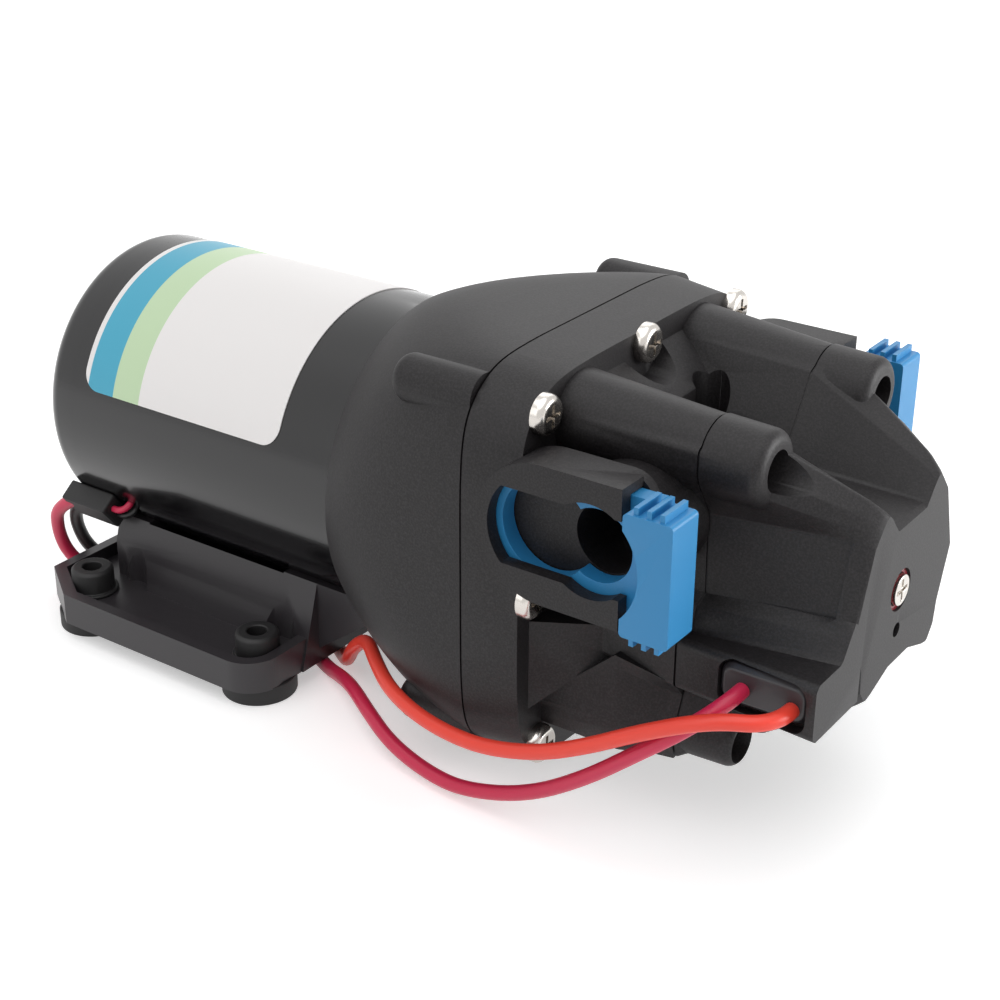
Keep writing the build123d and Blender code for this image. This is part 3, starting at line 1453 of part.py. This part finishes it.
scoops = [(x, y - scoop_inset if y > 0 else y + scoop_inset) for x, y in feet]
with BuildPart() as base_plate:
    with BuildSketch(Plane.XY.offset(skirt_bottom)):
        tray_outline(0)
    extrude(amount=rim_top - skirt_bottom)
    with BuildSketch(Plane.XY.offset(tray_floor)):
        tray_outline(rim_wall)
    extrude(amount=overrun, mode=Mode.SUBTRACT)
    with BuildSketch(Plane.XY.offset(skirt_bottom)):
        tray_outline(rim_wall)
        with Locations(*feet):
            Circle(grommet_foot_radius + base_wall / 2, mode=Mode.SUBTRACT)
    extrude(amount=tray_floor - tray_floor_thickness - skirt_bottom, mode=Mode.SUBTRACT)
    with BuildSketch(cross_plane(saddle_rear)):
        saddle_outline(0, skirt_bottom, saddle_height)
    extrude(amount=saddle_front - saddle_rear)
    with BuildSketch(Plane.XZ.offset(-wall_top_y)):
        with BuildLine() as nose_edge:
            Polyline((nose_start, nose_low), (nose_start, saddle_height), (dome_rear_x, saddle_height),
                     (dome_rear_x, nose_low + nose_rise), close=True)
        make_face(nose_edge.edges())
    extrude(amount=wall_top_y * 2)
    with BuildSketch(cross_plane(saddle_rear)):
        Circle(can_radius)
    extrude(amount=dome_rear_x - saddle_rear, mode=Mode.SUBTRACT)
    with BuildSketch(cross_plane(saddle_rear)):
        with Locations((0, saddle_height - axis_height)):
            Rectangle(tray_half * 2, (saddle_height - wall_top) * 2)
    extrude(amount=dome_rear_x - saddle_rear + overrun, mode=Mode.SUBTRACT)
    with BuildSketch(cross_plane(saddle_rear + saddle_rib)):
        Circle(can_radius + saddle_relief)
    extrude(amount=saddle_front - saddle_rear - saddle_rib * 2, mode=Mode.SUBTRACT)
    with BuildSketch(Plane.XY):
        with Locations(*scoops):
            Circle(scoop_radius + base_wall)
    scoop_walls = extrude(amount=saddle_height, mode=Mode.PRIVATE)
    for bottom, top in ((0, rib_hollow_top), (rib_hollow_top + base_wall, saddle_height)):
        with BuildSketch(cross_plane(saddle_rear + saddle_rib)):
            saddle_outline(base_wall, bottom, top)
        hollow = extrude(amount=saddle_front - saddle_rear - saddle_rib * 2, mode=Mode.PRIVATE)
        add(hollow - scoop_walls, mode=Mode.SUBTRACT)
    with BuildSketch(cross_plane(saddle_rear + base_wall)):
        with Locations((0, (rib_hollow_top - axis_height) - tray_floor)):
            Rectangle(rib_hollow_half * 2, tray_floor * 2)
    extrude(amount=dome_rear_x - saddle_rear - overrun, mode=Mode.SUBTRACT)
    with BuildSketch(Plane.XY.offset(tray_floor)):
        with Locations(*scoops):
            Circle(scoop_radius)
        with Locations((pocket_x, pocket_y), (pocket_x, -pocket_y)):
            Circle(pocket_radius)
    wells = extrude(amount=saddle_height, mode=Mode.PRIVATE)
    with BuildSketch(Plane.XY.offset(tray_floor)):
        tray_outline(rim_wall)
    tray_room = extrude(amount=saddle_height, mode=Mode.PRIVATE)
    add(wells & tray_room, mode=Mode.SUBTRACT)
    with BuildSketch(Plane.XY.offset(tray_floor)):
        with Locations(*feet):
            Circle(grommet_lip_radius + fit_gap)
    extrude(amount=grommet_lip_height + fit_gap, mode=Mode.SUBTRACT)
    with BuildSketch(Plane.XY):
        with Locations(*feet):
            Circle(grommet_foot_radius + loose_gap)
    extrude(amount=grommet_foot_height, mode=Mode.SUBTRACT)
    with BuildSketch(Plane.XY):
        with Locations(*feet):
            Circle(grommet_neck_radius)
        with Locations((saddle_rear + base_screw_inset, 0), (saddle_front - base_screw_inset, 0)):
            Circle(base_screw_radius + fit_gap)
    extrude(amount=saddle_height, mode=Mode.SUBTRACT)
base_plate.part.label = "base_plate"
export_step(base_plate.part, "parts/base_plate.step")

with BuildPart() as base_screws:
    with BuildSketch(Plane.XY.offset(rib_hollow_top)):
        with Locations((saddle_rear + base_screw_inset, 0), (saddle_front - base_screw_inset, 0)):
            Circle(base_screw_radius)
    extrude(amount=axis_height - can_radius + base_screw_reach - rib_hollow_top)
    with BuildSketch(Plane.XY.offset(rib_hollow_top)):
        with Locations((saddle_rear + base_screw_inset, 0), (saddle_front - base_screw_inset, 0)):
            Circle(base_screw_head)
    extrude(amount=-base_screw_head_height)
base_screws.part.label = "base_screws"
export_step(base_screws.part, "parts/base_screws.step")

with BuildPart() as foot_grommets:
    with BuildSketch(Plane.XY):
        with Locations(*feet):
            Circle(grommet_foot_radius)
    extrude(amount=grommet_foot_height)
    with BuildSketch(Plane.XY):
        with Locations(*feet):
            Circle(grommet_neck_radius)
    extrude(amount=tray_floor)
    with BuildSketch(Plane.XY.offset(tray_floor)):
        with Locations(*feet):
            Circle(grommet_lip_radius)
    extrude(amount=grommet_lip_height)
    with BuildSketch(Plane.XY.offset(tray_floor)):
        with Locations(*feet):
            Circle(grommet_radius)
    extrude(amount=grommet_top - tray_floor)
    barrel_rims = foot_grommets.edges().filter_by(GeomType.CIRCLE).group_by(Axis.Z)[-1]
    chamfer(barrel_rims, grommet_bevel)
    with BuildSketch(Plane.XY):
        with Locations(*feet):
            Circle(foot_hole_radius)
    extrude(amount=grommet_top, mode=Mode.SUBTRACT)
foot_grommets.part.label = "foot_grommets"
export_step(foot_grommets.part, "parts/foot_grommets.step")

# Lead grommet on the motor, its two thin leads, and the loose leads

block_middle = tie_rear + tie_length / 2
with BuildPart() as lead_grommet:
    with BuildSketch(lead_plane(can_radius - can_wall)) as tie_face:
        with Locations((block_middle, 0)):
            Rectangle(tie_length, tie_width)
        fillet(tie_face.vertices(), grommet_bevel)
    extrude(amount=tie_thickness + can_wall)
    with BuildSketch(cross_plane(motor_rear_x)):
        Circle(can_radius)
    extrude(amount=can_length, mode=Mode.SUBTRACT)
lead_grommet.part.label = "lead_grommet"
export_step(lead_grommet.part, "parts/lead_grommet.step")


def draw_route(points):
    # Straight runs joined by arcs, each arc as wide as its shorter run allows.
    start = Vector(*points[0])
    for place in range(1, len(points) - 1):
        corner = Vector(*points[place])
        arrive = corner - Vector(*points[place - 1])
        leave = Vector(*points[place + 1]) - corner
        half_turn = radians(arrive.get_angle(leave)) / 2
        trim = min(arrive.length, leave.length) * 0.45
        radius = trim / tan(half_turn)
        arrive = arrive.normalized()
        leave = leave.normalized()
        arc_start = corner - arrive * trim
        arc_end = corner + leave * trim
        inward = (leave - arrive).normalized()
        centre = corner + inward * (radius / cos(half_turn))
        Line(start, arc_start)
        ThreePointArc(arc_start, centre - inward * radius, arc_end)
        start = arc_end
    Line(start, Vector(*points[-1]))


grommet_end = tie_rear + tie_length
with BuildPart() as motor_leads:
    for spread in (motor_lead_spread, -motor_lead_spread):
        top = lead_plane(can_radius + tie_thickness / 2)
        low = lead_plane(can_bore - can_wall)
        stem = [tuple(top.from_local_coords((grommet_end - lead_reach, spread, 0))),
                tuple(top.from_local_coords((grommet_end + lead_reach, spread, 0))),
                tuple(low.from_local_coords((grommet_end + lead_reach, spread, 0)))]
        with BuildLine() as stem_line:
            draw_route(stem)
        with BuildSketch(Plane(origin=stem[0], z_dir=(1, 0, 0))):
            Circle(motor_lead_radius)
        sweep(path=stem_line.line)
motor_leads.part.label = "motor_leads"
export_step(motor_leads.part, "parts/motor_leads.step")

lead_routes = {"crimson_lead": crimson_route, "orange_lead": orange_route, "black_lead": black_route}
for lead_name, route in lead_routes.items():
    with BuildPart() as loose_lead:
        with BuildLine() as lead_line:
            draw_route(route)
        lead_heading = Vector(*route[1]) - Vector(*route[0])
        with BuildSketch(Plane(origin=route[0], z_dir=lead_heading)):
            Circle(lead_radius)
        sweep(path=lead_line.line)
    loose_lead.part.label = lead_name
    export_step(loose_lead.part, "parts/" + lead_name + ".step")
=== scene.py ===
import json
import math

import bmesh
import bpy
from mathutils import Matrix, Vector


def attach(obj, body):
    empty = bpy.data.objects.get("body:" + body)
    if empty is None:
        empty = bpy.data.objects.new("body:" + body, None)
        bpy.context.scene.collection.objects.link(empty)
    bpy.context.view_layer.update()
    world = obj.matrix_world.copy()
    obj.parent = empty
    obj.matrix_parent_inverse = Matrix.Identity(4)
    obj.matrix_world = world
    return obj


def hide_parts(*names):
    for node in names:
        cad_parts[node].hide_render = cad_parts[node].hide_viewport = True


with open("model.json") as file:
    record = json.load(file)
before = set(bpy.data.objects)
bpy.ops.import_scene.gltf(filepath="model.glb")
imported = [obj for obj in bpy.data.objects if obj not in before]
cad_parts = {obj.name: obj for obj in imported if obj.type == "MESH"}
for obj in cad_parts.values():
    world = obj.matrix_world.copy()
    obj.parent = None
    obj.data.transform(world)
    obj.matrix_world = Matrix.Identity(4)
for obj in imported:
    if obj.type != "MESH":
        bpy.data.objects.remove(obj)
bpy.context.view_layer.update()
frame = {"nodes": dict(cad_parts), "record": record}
mm = 0.001
print("frame loaded")

# Camera at the photograph's angle, solved from the round motor, the screws and the flange

shot = {
    "azimuth": 35.19,  # degrees from the -Y side towards +X
    "elevation": 25.71,
    "roll": 0.37,
    "lens": 66.34,  # mm, on a sensor of that width
    "sensor": 36,
    "nearest": 0.01,  # m, nothing nearer is drawn
    "place": (0.31095, -0.33465, 0.2468),
}


def addCamera():
    azimuth, elevation, roll = (math.radians(shot[key]) for key in ("azimuth", "elevation", "roll"))
    back = Vector((math.sin(azimuth) * math.cos(elevation),
                   -math.cos(azimuth) * math.cos(elevation), math.sin(elevation)))
    side = (-back).cross(Vector((0, 0, 1))).normalized()
    up = side.cross(-back)
    right = side * math.cos(roll) + up * math.sin(roll)
    upright = up * math.cos(roll) - side * math.sin(roll)
    data = bpy.data.cameras.new("photoCamera")
    data.lens = shot["lens"]
    data.sensor_width = shot["sensor"]
    data.clip_start = shot["nearest"]
    camera = bpy.data.objects.new("photoCamera", data)
    camera.matrix_world = (Matrix.Translation(shot["place"])
                           @ Matrix((right, upright, back)).transposed().to_4x4())
    bpy.context.collection.objects.link(camera)
    bpy.context.scene.camera = camera


addCamera()
bpy.context.scene.view_settings.view_transform = "Standard"
print("camera placed")

# Materials: a grain is its size and depth in mm, a mottle goes from dark to light over patches in mm.
# The spark texture, the speckle and the brushing are finer on the real thing, about 0.1 mm, and are
# drawn this coarse so that they show

finishes = {
    # glass-filled nylon, spark-textured mould: dull black with a fine pale speckle
    "glassFilledNylon": {
        "colour": "#1a1819", "roughness": 0.5, "ior": 1.4, "grain": (0.5, 0.03),
        "mottle": {"dark": "#131112", "light": "#2b282a", "patch": 0.5, "low": 0.42, "high": 0.7}},
    # the same nylon where the mould was left smoother: a softer black with broad faint waves, painted
    # paler than the textured nylon as painted sheen for the reflection on the base
    "smoothNylonPaintedSheen": {"colour": "#302d30", "roughness": 0.36, "grain": (1.2, 0.012)},
    # enamel baked on the steel can: black, glossy, slightly orange-peeled
    "bakedEnamel": {
        "colour": "#111012", "roughness": 0.2, "coat": 0.3, "coatRoughness": 0.06,
        "grain": (1.5, 0.004)},
    # moulded acetal: even blue, satin
    "blueAcetal": {"colour": "#2f88c0", "roughness": 0.42, "grain": (0.9, 0.008)},
    # stainless pan heads, cold formed: bright, faintly brushed
    "stainlessSteel": {
        "colour": "#cfcac4", "roughness": 0.22, "metallic": 1.0, "grain": (0.25, 0.006)},
    # moulded rubber: deep dull black
    "mouldedRubber": {"colour": "#161516", "roughness": 0.6, "grain": (0.8, 0.02)},
    # extruded vinyl insulation: satin, slightly uneven
    "crimsonVinyl": {"colour": "#d92c54", "roughness": 0.36, "grain": (1.6, 0.015)},
    "orangeVinyl": {"colour": "#fb4a3a", "roughness": 0.34, "grain": (1.6, 0.015)},
    "blackVinyl": {"colour": "#19191a", "roughness": 0.4, "grain": (1.6, 0.015)},
    # drop of thread sealant, set hard: dark red, glossy
    "threadSealant": {"colour": "#7a1e28", "roughness": 0.25},
    # tinned copper wire and segments: warm, satin
    "tinnedCopper": {"colour": "#b5896a", "roughness": 0.35, "metallic": 1.0},
    # ground steel: even, bright grey
    "groundSteel": {"colour": "#b9b9ba", "roughness": 0.25, "metallic": 1.0},
    # uncoloured moulded acetal: milky, satin
    "naturalAcetal": {"colour": "#d9d6cc", "roughness": 0.45},
    # sintered bronze: dull yellow brown
    "sinteredBronze": {"colour": "#8d7447", "roughness": 0.45, "metallic": 1.0},
    # pressed and fired ferrite: dark grey, matt
    "ferriteMagnet": {"colour": "#2a2a2b", "roughness": 0.7},
}
noiseLook = {
    "grain": {"Detail": 2.0, "Roughness": 0.6},
    "mottle": {"Detail": 4.0, "Roughness": 0.65},
}


def linear(hexColour):
    # sRGB hex to the linear values that a shader takes
    parts = [int(hexColour[i:i + 2], 16) / 255 for i in (1, 3, 5)]
    return tuple(p / 12.92 if p <= 0.04045 else ((p + 0.055) / 1.055) ** 2.4 for p in parts) + (1,)


def addNode(tree, kind, settings=None, inputs=None):
    # one node, with its settings, its socket values, and its links where a value is a socket
    node = tree.nodes.new(kind)
    for key, value in (settings or {}).items():
        setattr(node, key, value)
    for key, value in (inputs or {}).items():
        if isinstance(value, bpy.types.NodeSocket):
            tree.links.new(value, node.inputs[key])
        else:
            node.inputs[key].default_value = value
    return node


def objectPlace(tree):
    return addNode(tree, "ShaderNodeTexCoord").outputs["Object"]


def addNoise(tree, size, look):
    return addNode(tree, "ShaderNodeTexNoise", {}, {
        "Vector": objectPlace(tree), "Scale": 1 / (size * mm), **look}).outputs["Fac"]


def addGrain(tree, shader, size, depth):
    bump = addNode(tree, "ShaderNodeBump", {}, {
        "Height": addNoise(tree, size, noiseLook["grain"]), "Strength": 1.0, "Distance": depth * mm})
    tree.links.new(bump.outputs["Normal"], shader.inputs["Normal"])


def addMottle(tree, shader, dark, light, patch, low, high):
    ramp = addNode(tree, "ShaderNodeValToRGB", {}, {
        "Fac": addNoise(tree, patch, noiseLook["mottle"])})
    for element, position, colour in zip(ramp.color_ramp.elements, (low, high), (dark, light)):
        element.position = position
        element.color = linear(colour)
    tree.links.new(ramp.outputs["Color"], shader.inputs["Base Color"])


def newMaterial(name, colour, roughness, metallic=0.0, ior=1.5, coat=0.0, coatRoughness=0.1,
                grain=None, mottle=None):
    material = bpy.data.materials.new(name)
    material.use_nodes = True
    tree = material.node_tree
    shader = tree.nodes["Principled BSDF"]
    shader.inputs["Base Color"].default_value = linear(colour)
    shader.inputs["Roughness"].default_value = roughness
    shader.inputs["Metallic"].default_value = metallic
    if not metallic:
        shader.inputs["IOR"].default_value = ior
    shader.inputs["Coat Weight"].default_value = coat
    shader.inputs["Coat Roughness"].default_value = coatRoughness
    if grain:
        addGrain(tree, shader, *grain)
    if mottle:
        addMottle(tree, shader, **mottle)
    return material


made = {name: newMaterial(name, **finish) for name, finish in finishes.items()}

# Film label, printed: satin white with a blue and a green band at the back, no lettering

labelLook = {
    "white": "#faf7f6", "roughness": 0.34,
    "bands": (("#4fb2d0", -28.0, -19.0), ("#cfe8c0", -19.0, -10.0)),  # ink, from and to, mm in X
}


def makeLabelFilm():
    material = newMaterial("printedFilm", labelLook["white"], labelLook["roughness"])
    tree = material.node_tree
    along = addNode(tree, "ShaderNodeSeparateXYZ", {}, {"Vector": objectPlace(tree)}).outputs["X"]
    colour = linear(labelLook["white"])
    for ink, start, end in labelLook["bands"]:
        after = addNode(tree, "ShaderNodeMath", {"operation": "GREATER_THAN"},
                        {0: along, 1: start * mm})
        before = addNode(tree, "ShaderNodeMath", {"operation": "LESS_THAN"},
                         {0: along, 1: end * mm})
        inside = addNode(tree, "ShaderNodeMath", {"operation": "MULTIPLY"},
                         {0: after.outputs[0], 1: before.outputs[0]})
        mix = addNode(tree, "ShaderNodeMix", {"data_type": "RGBA"},
                      {"Factor": inside.outputs[0], "A": colour, "B": linear(ink)})
        colour = mix.outputs["Result"]
    tree.links.new(colour, tree.nodes["Principled BSDF"].inputs["Base Color"])
    return material


made["printedFilm"] = makeLabelFilm()
print("materials made")

# CAD solids that show, each copied with softened edges and smooth curves

softEdge = {
    "angle": 32,  # degrees, sharper corners are rounded
    "segments": 2,
    "flat": 1.0,  # degrees, facets that turn less are joined
    "weld": 0.001,  # mm
}
softPieces = {  # finish, and the edge's radius in mm
    "drive_housing": ("glassFilledNylon", 0.4), "port_housing": ("glassFilledNylon", 0.4),
    # the base plate and the switch plate take the nylon painted paler as painted sheen
    "front_cover": ("glassFilledNylon", 0.5), "base_plate": ("smoothNylonPaintedSheen", 0.35),
    "switch_plate": ("smoothNylonPaintedSheen", 0.25), "port_clip_near": ("blueAcetal", 0.35),
    "port_clip_far": ("blueAcetal", 0.35), "flange_screws": ("stainlessSteel", 0.12),
    "long_screws": ("stainlessSteel", 0.12), "foot_grommets": ("mouldedRubber", 0.3),
    "lead_grommet": ("mouldedRubber", 0.5), "motor_end_cap": ("bakedEnamel", 0.4),
    "motor_label": ("printedFilm", 0), "motor_can": ("bakedEnamel", 0.15),
    "adjusting_screw": ("stainlessSteel", 0.1), "thread_sealant": ("threadSealant", 0.1),
}
motorLeads = {"node": "motor_leads", "first": "blackVinyl", "second": "crimsonVinyl"}


def softCopy(node, finish, edge):
    mesh = frame["nodes"][node].data.copy()
    shape = bmesh.new()
    shape.from_mesh(mesh)
    bmesh.ops.remove_doubles(shape, verts=shape.verts, dist=softEdge["weld"] * mm)
    bmesh.ops.dissolve_limit(shape, angle_limit=math.radians(softEdge["flat"]),
                             use_dissolve_boundaries=False, verts=shape.verts, edges=shape.edges,
                             delimit=set())
    shape.to_mesh(mesh)
    shape.free()
    piece = bpy.data.objects.new(node + "Soft", mesh)
    bpy.context.collection.objects.link(piece)
    if edge:
        bevel = piece.modifiers.new("softEdges", "BEVEL")
        bevel.width = edge * mm
        bevel.segments = softEdge["segments"]
        bevel.limit_method = "ANGLE"
        bevel.angle_limit = math.radians(softEdge["angle"])
        bevel.use_clamp_overlap = True
        bevel.harden_normals = False
    mesh.materials.clear()
    mesh.materials.append(made[finish])
    mesh.shade_smooth()
    mesh.set_sharp_from_angle(angle=math.radians(softEdge["angle"]))
    for body, parts in frame["record"]["behaviour"]["bodies"].items():
        if node in parts:
            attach(piece, body)
    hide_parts(node)
    return piece


def paintMotorLeads():
    # the two thin motor wires are one node: the faces that hang together with the first are one wire
    mesh = softCopy(motorLeads["node"], motorLeads["second"], 0).data
    mesh.materials.append(made[motorLeads["first"]])
    shape = bmesh.new()
    shape.from_mesh(mesh)
    shape.faces.ensure_lookup_table()
    found = {shape.faces[0]}
    reached = list(found)
    while reached:
        neighbours = {face for loop in reached.pop().loops for face in loop.edge.link_faces}
        reached += neighbours - found
        found |= neighbours
    for face in found:
        face.material_index = 1  # the second material on the list
    shape.to_mesh(mesh)
    shape.free()


for node, (finish, edge) in softPieces.items():
    softCopy(node, finish, edge)
paintMotorLeads()

# The other solids keep their own mesh: the finish goes by the record's material slot

plainFinishes = {
    "bearing_steel": "groundSteel", "zinc_plate": "groundSteel", "aluminium": "groundSteel",
    "bronze": "sinteredBronze", "copper": "tinnedCopper", "natural_plastic": "naturalAcetal",
    "rubber": "mouldedRubber", "ferrite": "ferriteMagnet", "carbon": "ferriteMagnet",
    "stainless": "stainlessSteel", "crimson_insulation": "crimsonVinyl",
}
for part in frame["record"]["subparts"]:
    finish = plainFinishes.get(part["material_slot"])
    if finish and part["node"] not in (*softPieces, motorLeads["node"]):
        mesh = frame["nodes"][part["node"]].data
        mesh.materials.clear()
        mesh.materials.append(made[finish])
print("solids finished")

# Leads of limp vinyl wire, from the switch plate and the lead grommet: points in mm

leadRoutes = {
    "crimsonLead": {
        "node": "crimson_lead", "finish": "crimsonVinyl", "length": 0.281, "farEnd": "object",
        "points": [
            (164.1, -39.2, 46.5), (164.1, -46, 46.5), (157, -50.6, 39.8), (147.5, -51.8, 31.5),
            (134, -51.8, 19.5), (119, -51.8, 9.3), (102.3, -52, 3.9), (90.8, -51, 3.6), (77.5, -48, 5),
            (66, -42.5, 7.2), (56.5, -36.5, 7.4), (48, -31, 4.8), (40, -26.5, 2.1), (26, -19.5, 1.9),
            (8, -14, 1.9), (-12, -14, 1.9), (-30, -19, 1.9), (-44.5, -26, 2.2), (-51.5, -29.8, 8.5),
            (-52, -32.5, 17.5), (-48, -35, 27.2), (-38.5, -34.4, 31.8)]},
    "orangeLead": {
        "node": "orange_lead", "finish": "orangeVinyl", "length": 0.225, "farEnd": "bare",
        "points": [
            (175.6, -39.2, 45.9), (175.6, -46.5, 45.9), (164.5, -53.2, 46.6), (149, -54.6, 38.5),
            (136.8, -55, 30.7), (124.1, -55, 24), (110.8, -55, 20.2), (99.7, -54, 19), (88, -51.6, 18.9),
            (77, -47.4, 19.7), (67.5, -40.5, 20.1), (58, -32, 19.5), (50.5, -28.8, 13), (45.5, -25, 5.8),
            (40, -20, 2.1), (28, -12, 1.9), (12, -5, 1.9), (-2, -4, 1.9), (-15, -5, 1.9)]},
    "blackLead": {
        "node": "black_lead", "finish": "blackVinyl", "length": 0.129, "farEnd": "bare",
        "points": [
            (-38.5, -31.6, 28.5), (-45, -30.7, 26.9), (-49.5, -28, 18.5), (-50.3, -23.2, 8),
            (-44, -18, 2.2), (-32, -9, 1.9), (-17, 1, 1.9), (-2, 10, 1.9), (12, 16, 1.9), (26, 13, 1.9),
            (33, 2, 1.9)]},
}
wire = {
    "diameter": 3.6, "stiffness": "limp", "lay": "hanging",
    "order": 3,  # each stretch follows three points
    "around": 6, "along": 10,  # steps round the wire's half and from point to point
}


def makeLead(name, lead):
    curve = bpy.data.curves.new(name, "CURVE")
    curve.dimensions = "3D"
    curve.bevel_depth = wire["diameter"] / 2 * mm
    curve.bevel_resolution = wire["around"]
    curve.resolution_u = wire["along"]
    curve.use_fill_caps = True
    line = curve.splines.new("NURBS")
    line.points.add(len(lead["points"]) - 1)
    for point, place in zip(line.points, lead["points"]):
        point.co = (*(value * mm for value in place), 1)
    line.order_u = wire["order"]
    line.use_endpoint_u = True
    curve.materials.append(made[lead["finish"]])
    piece = bpy.data.objects.new(name, curve)
    bpy.context.collection.objects.link(piece)
    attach(piece, "pump_body")
    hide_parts(lead["node"])


for leadName, lead in leadRoutes.items():
    makeLead(leadName, lead)
print("leads laid")

# Pale floor, lamps and a white surround

studio = {
    "floor": {"colour": "#f4f4f4", "roughness": 0.9, "half": 4.0, "glow": 0.42},
    "surround": 0.3,  # what it lights the object with, seen as plain white
    "overhead": {"from": (0.05, -0.22, 0.97), "strength": 1.35, "angle": 70},
    "lamps": {
        "back": {"place": (-0.2, 0.75, 0.7), "size": 0.7, "power": 1.5},
        "right": {"place": (0.88, 0.48, 0.15), "size": 0.5, "power": 7.0},
        "front": {"place": (-0.2, -0.9, 0.5), "size": 0.6, "power": 1.0},
    },
    "aim": (0.06, 0, 0.05),
}


def whiteForViewer(tree, plain, seenAs):
    # one level for the lens, gloss and glass, and a plainer one for what lights the object
    path = addNode(tree, "ShaderNodeLightPath")
    seen = path.outputs["Is Camera Ray"]
    for ray in ("Is Glossy Ray", "Is Transmission Ray"):
        seen = addNode(tree, "ShaderNodeMath", {"operation": "MAXIMUM"},
                       {0: seen, 1: path.outputs[ray]}).outputs[0]
    return addNode(tree, "ShaderNodeMath", {"operation": "MULTIPLY_ADD"},
                   {0: seen, 1: seenAs - plain, 2: plain}).outputs[0]


def makeFloor():
    mesh = bpy.data.meshes.new("floor")
    shape = bmesh.new()
    bmesh.ops.create_grid(shape, x_segments=1, y_segments=1, size=studio["floor"]["half"])
    shape.to_mesh(mesh)
    shape.free()
    floor = bpy.data.objects.new("floor", mesh)
    bpy.context.collection.objects.link(floor)
    paint = newMaterial("paleFloor", studio["floor"]["colour"], studio["floor"]["roughness"])
    shader = paint.node_tree.nodes["Principled BSDF"]
    shader.inputs["Emission Color"].default_value = (1, 1, 1, 1)
    glow = whiteForViewer(paint.node_tree, 0.0, studio["floor"]["glow"])
    paint.node_tree.links.new(glow, shader.inputs["Emission Strength"])
    mesh.materials.append(paint)


def makeSurround():
    world = bpy.data.worlds.new("paleSurround")
    world.use_nodes = True
    bpy.context.scene.world = world
    background = world.node_tree.nodes["Background"]
    background.inputs["Color"].default_value = (1, 1, 1, 1)
    level = whiteForViewer(world.node_tree, studio["surround"], 1.0)
    world.node_tree.links.new(level, background.inputs["Strength"])


def hangLamps():
    sun = bpy.data.lights.new("overheadSoftbox", "SUN")
    sun.energy = studio["overhead"]["strength"]
    sun.angle = math.radians(studio["overhead"]["angle"])
    hanger = bpy.data.objects.new("overheadSoftbox", sun)
    hanger.rotation_euler = Vector(studio["overhead"]["from"]).to_track_quat("Z", "Y").to_euler()
    bpy.context.collection.objects.link(hanger)
    for name, lamp in studio["lamps"].items():
        data = bpy.data.lights.new(name + "Lamp", "AREA")
        data.size = lamp["size"]
        data.energy = lamp["power"]
        holder = bpy.data.objects.new(name + "Lamp", data)
        holder.location = lamp["place"]
        aim = Vector(studio["aim"]) - Vector(lamp["place"])
        holder.rotation_euler = aim.to_track_quat("-Z", "Y").to_euler()
        bpy.context.collection.objects.link(holder)


makeFloor()
makeSurround()
hangLamps()
print("studio lit")
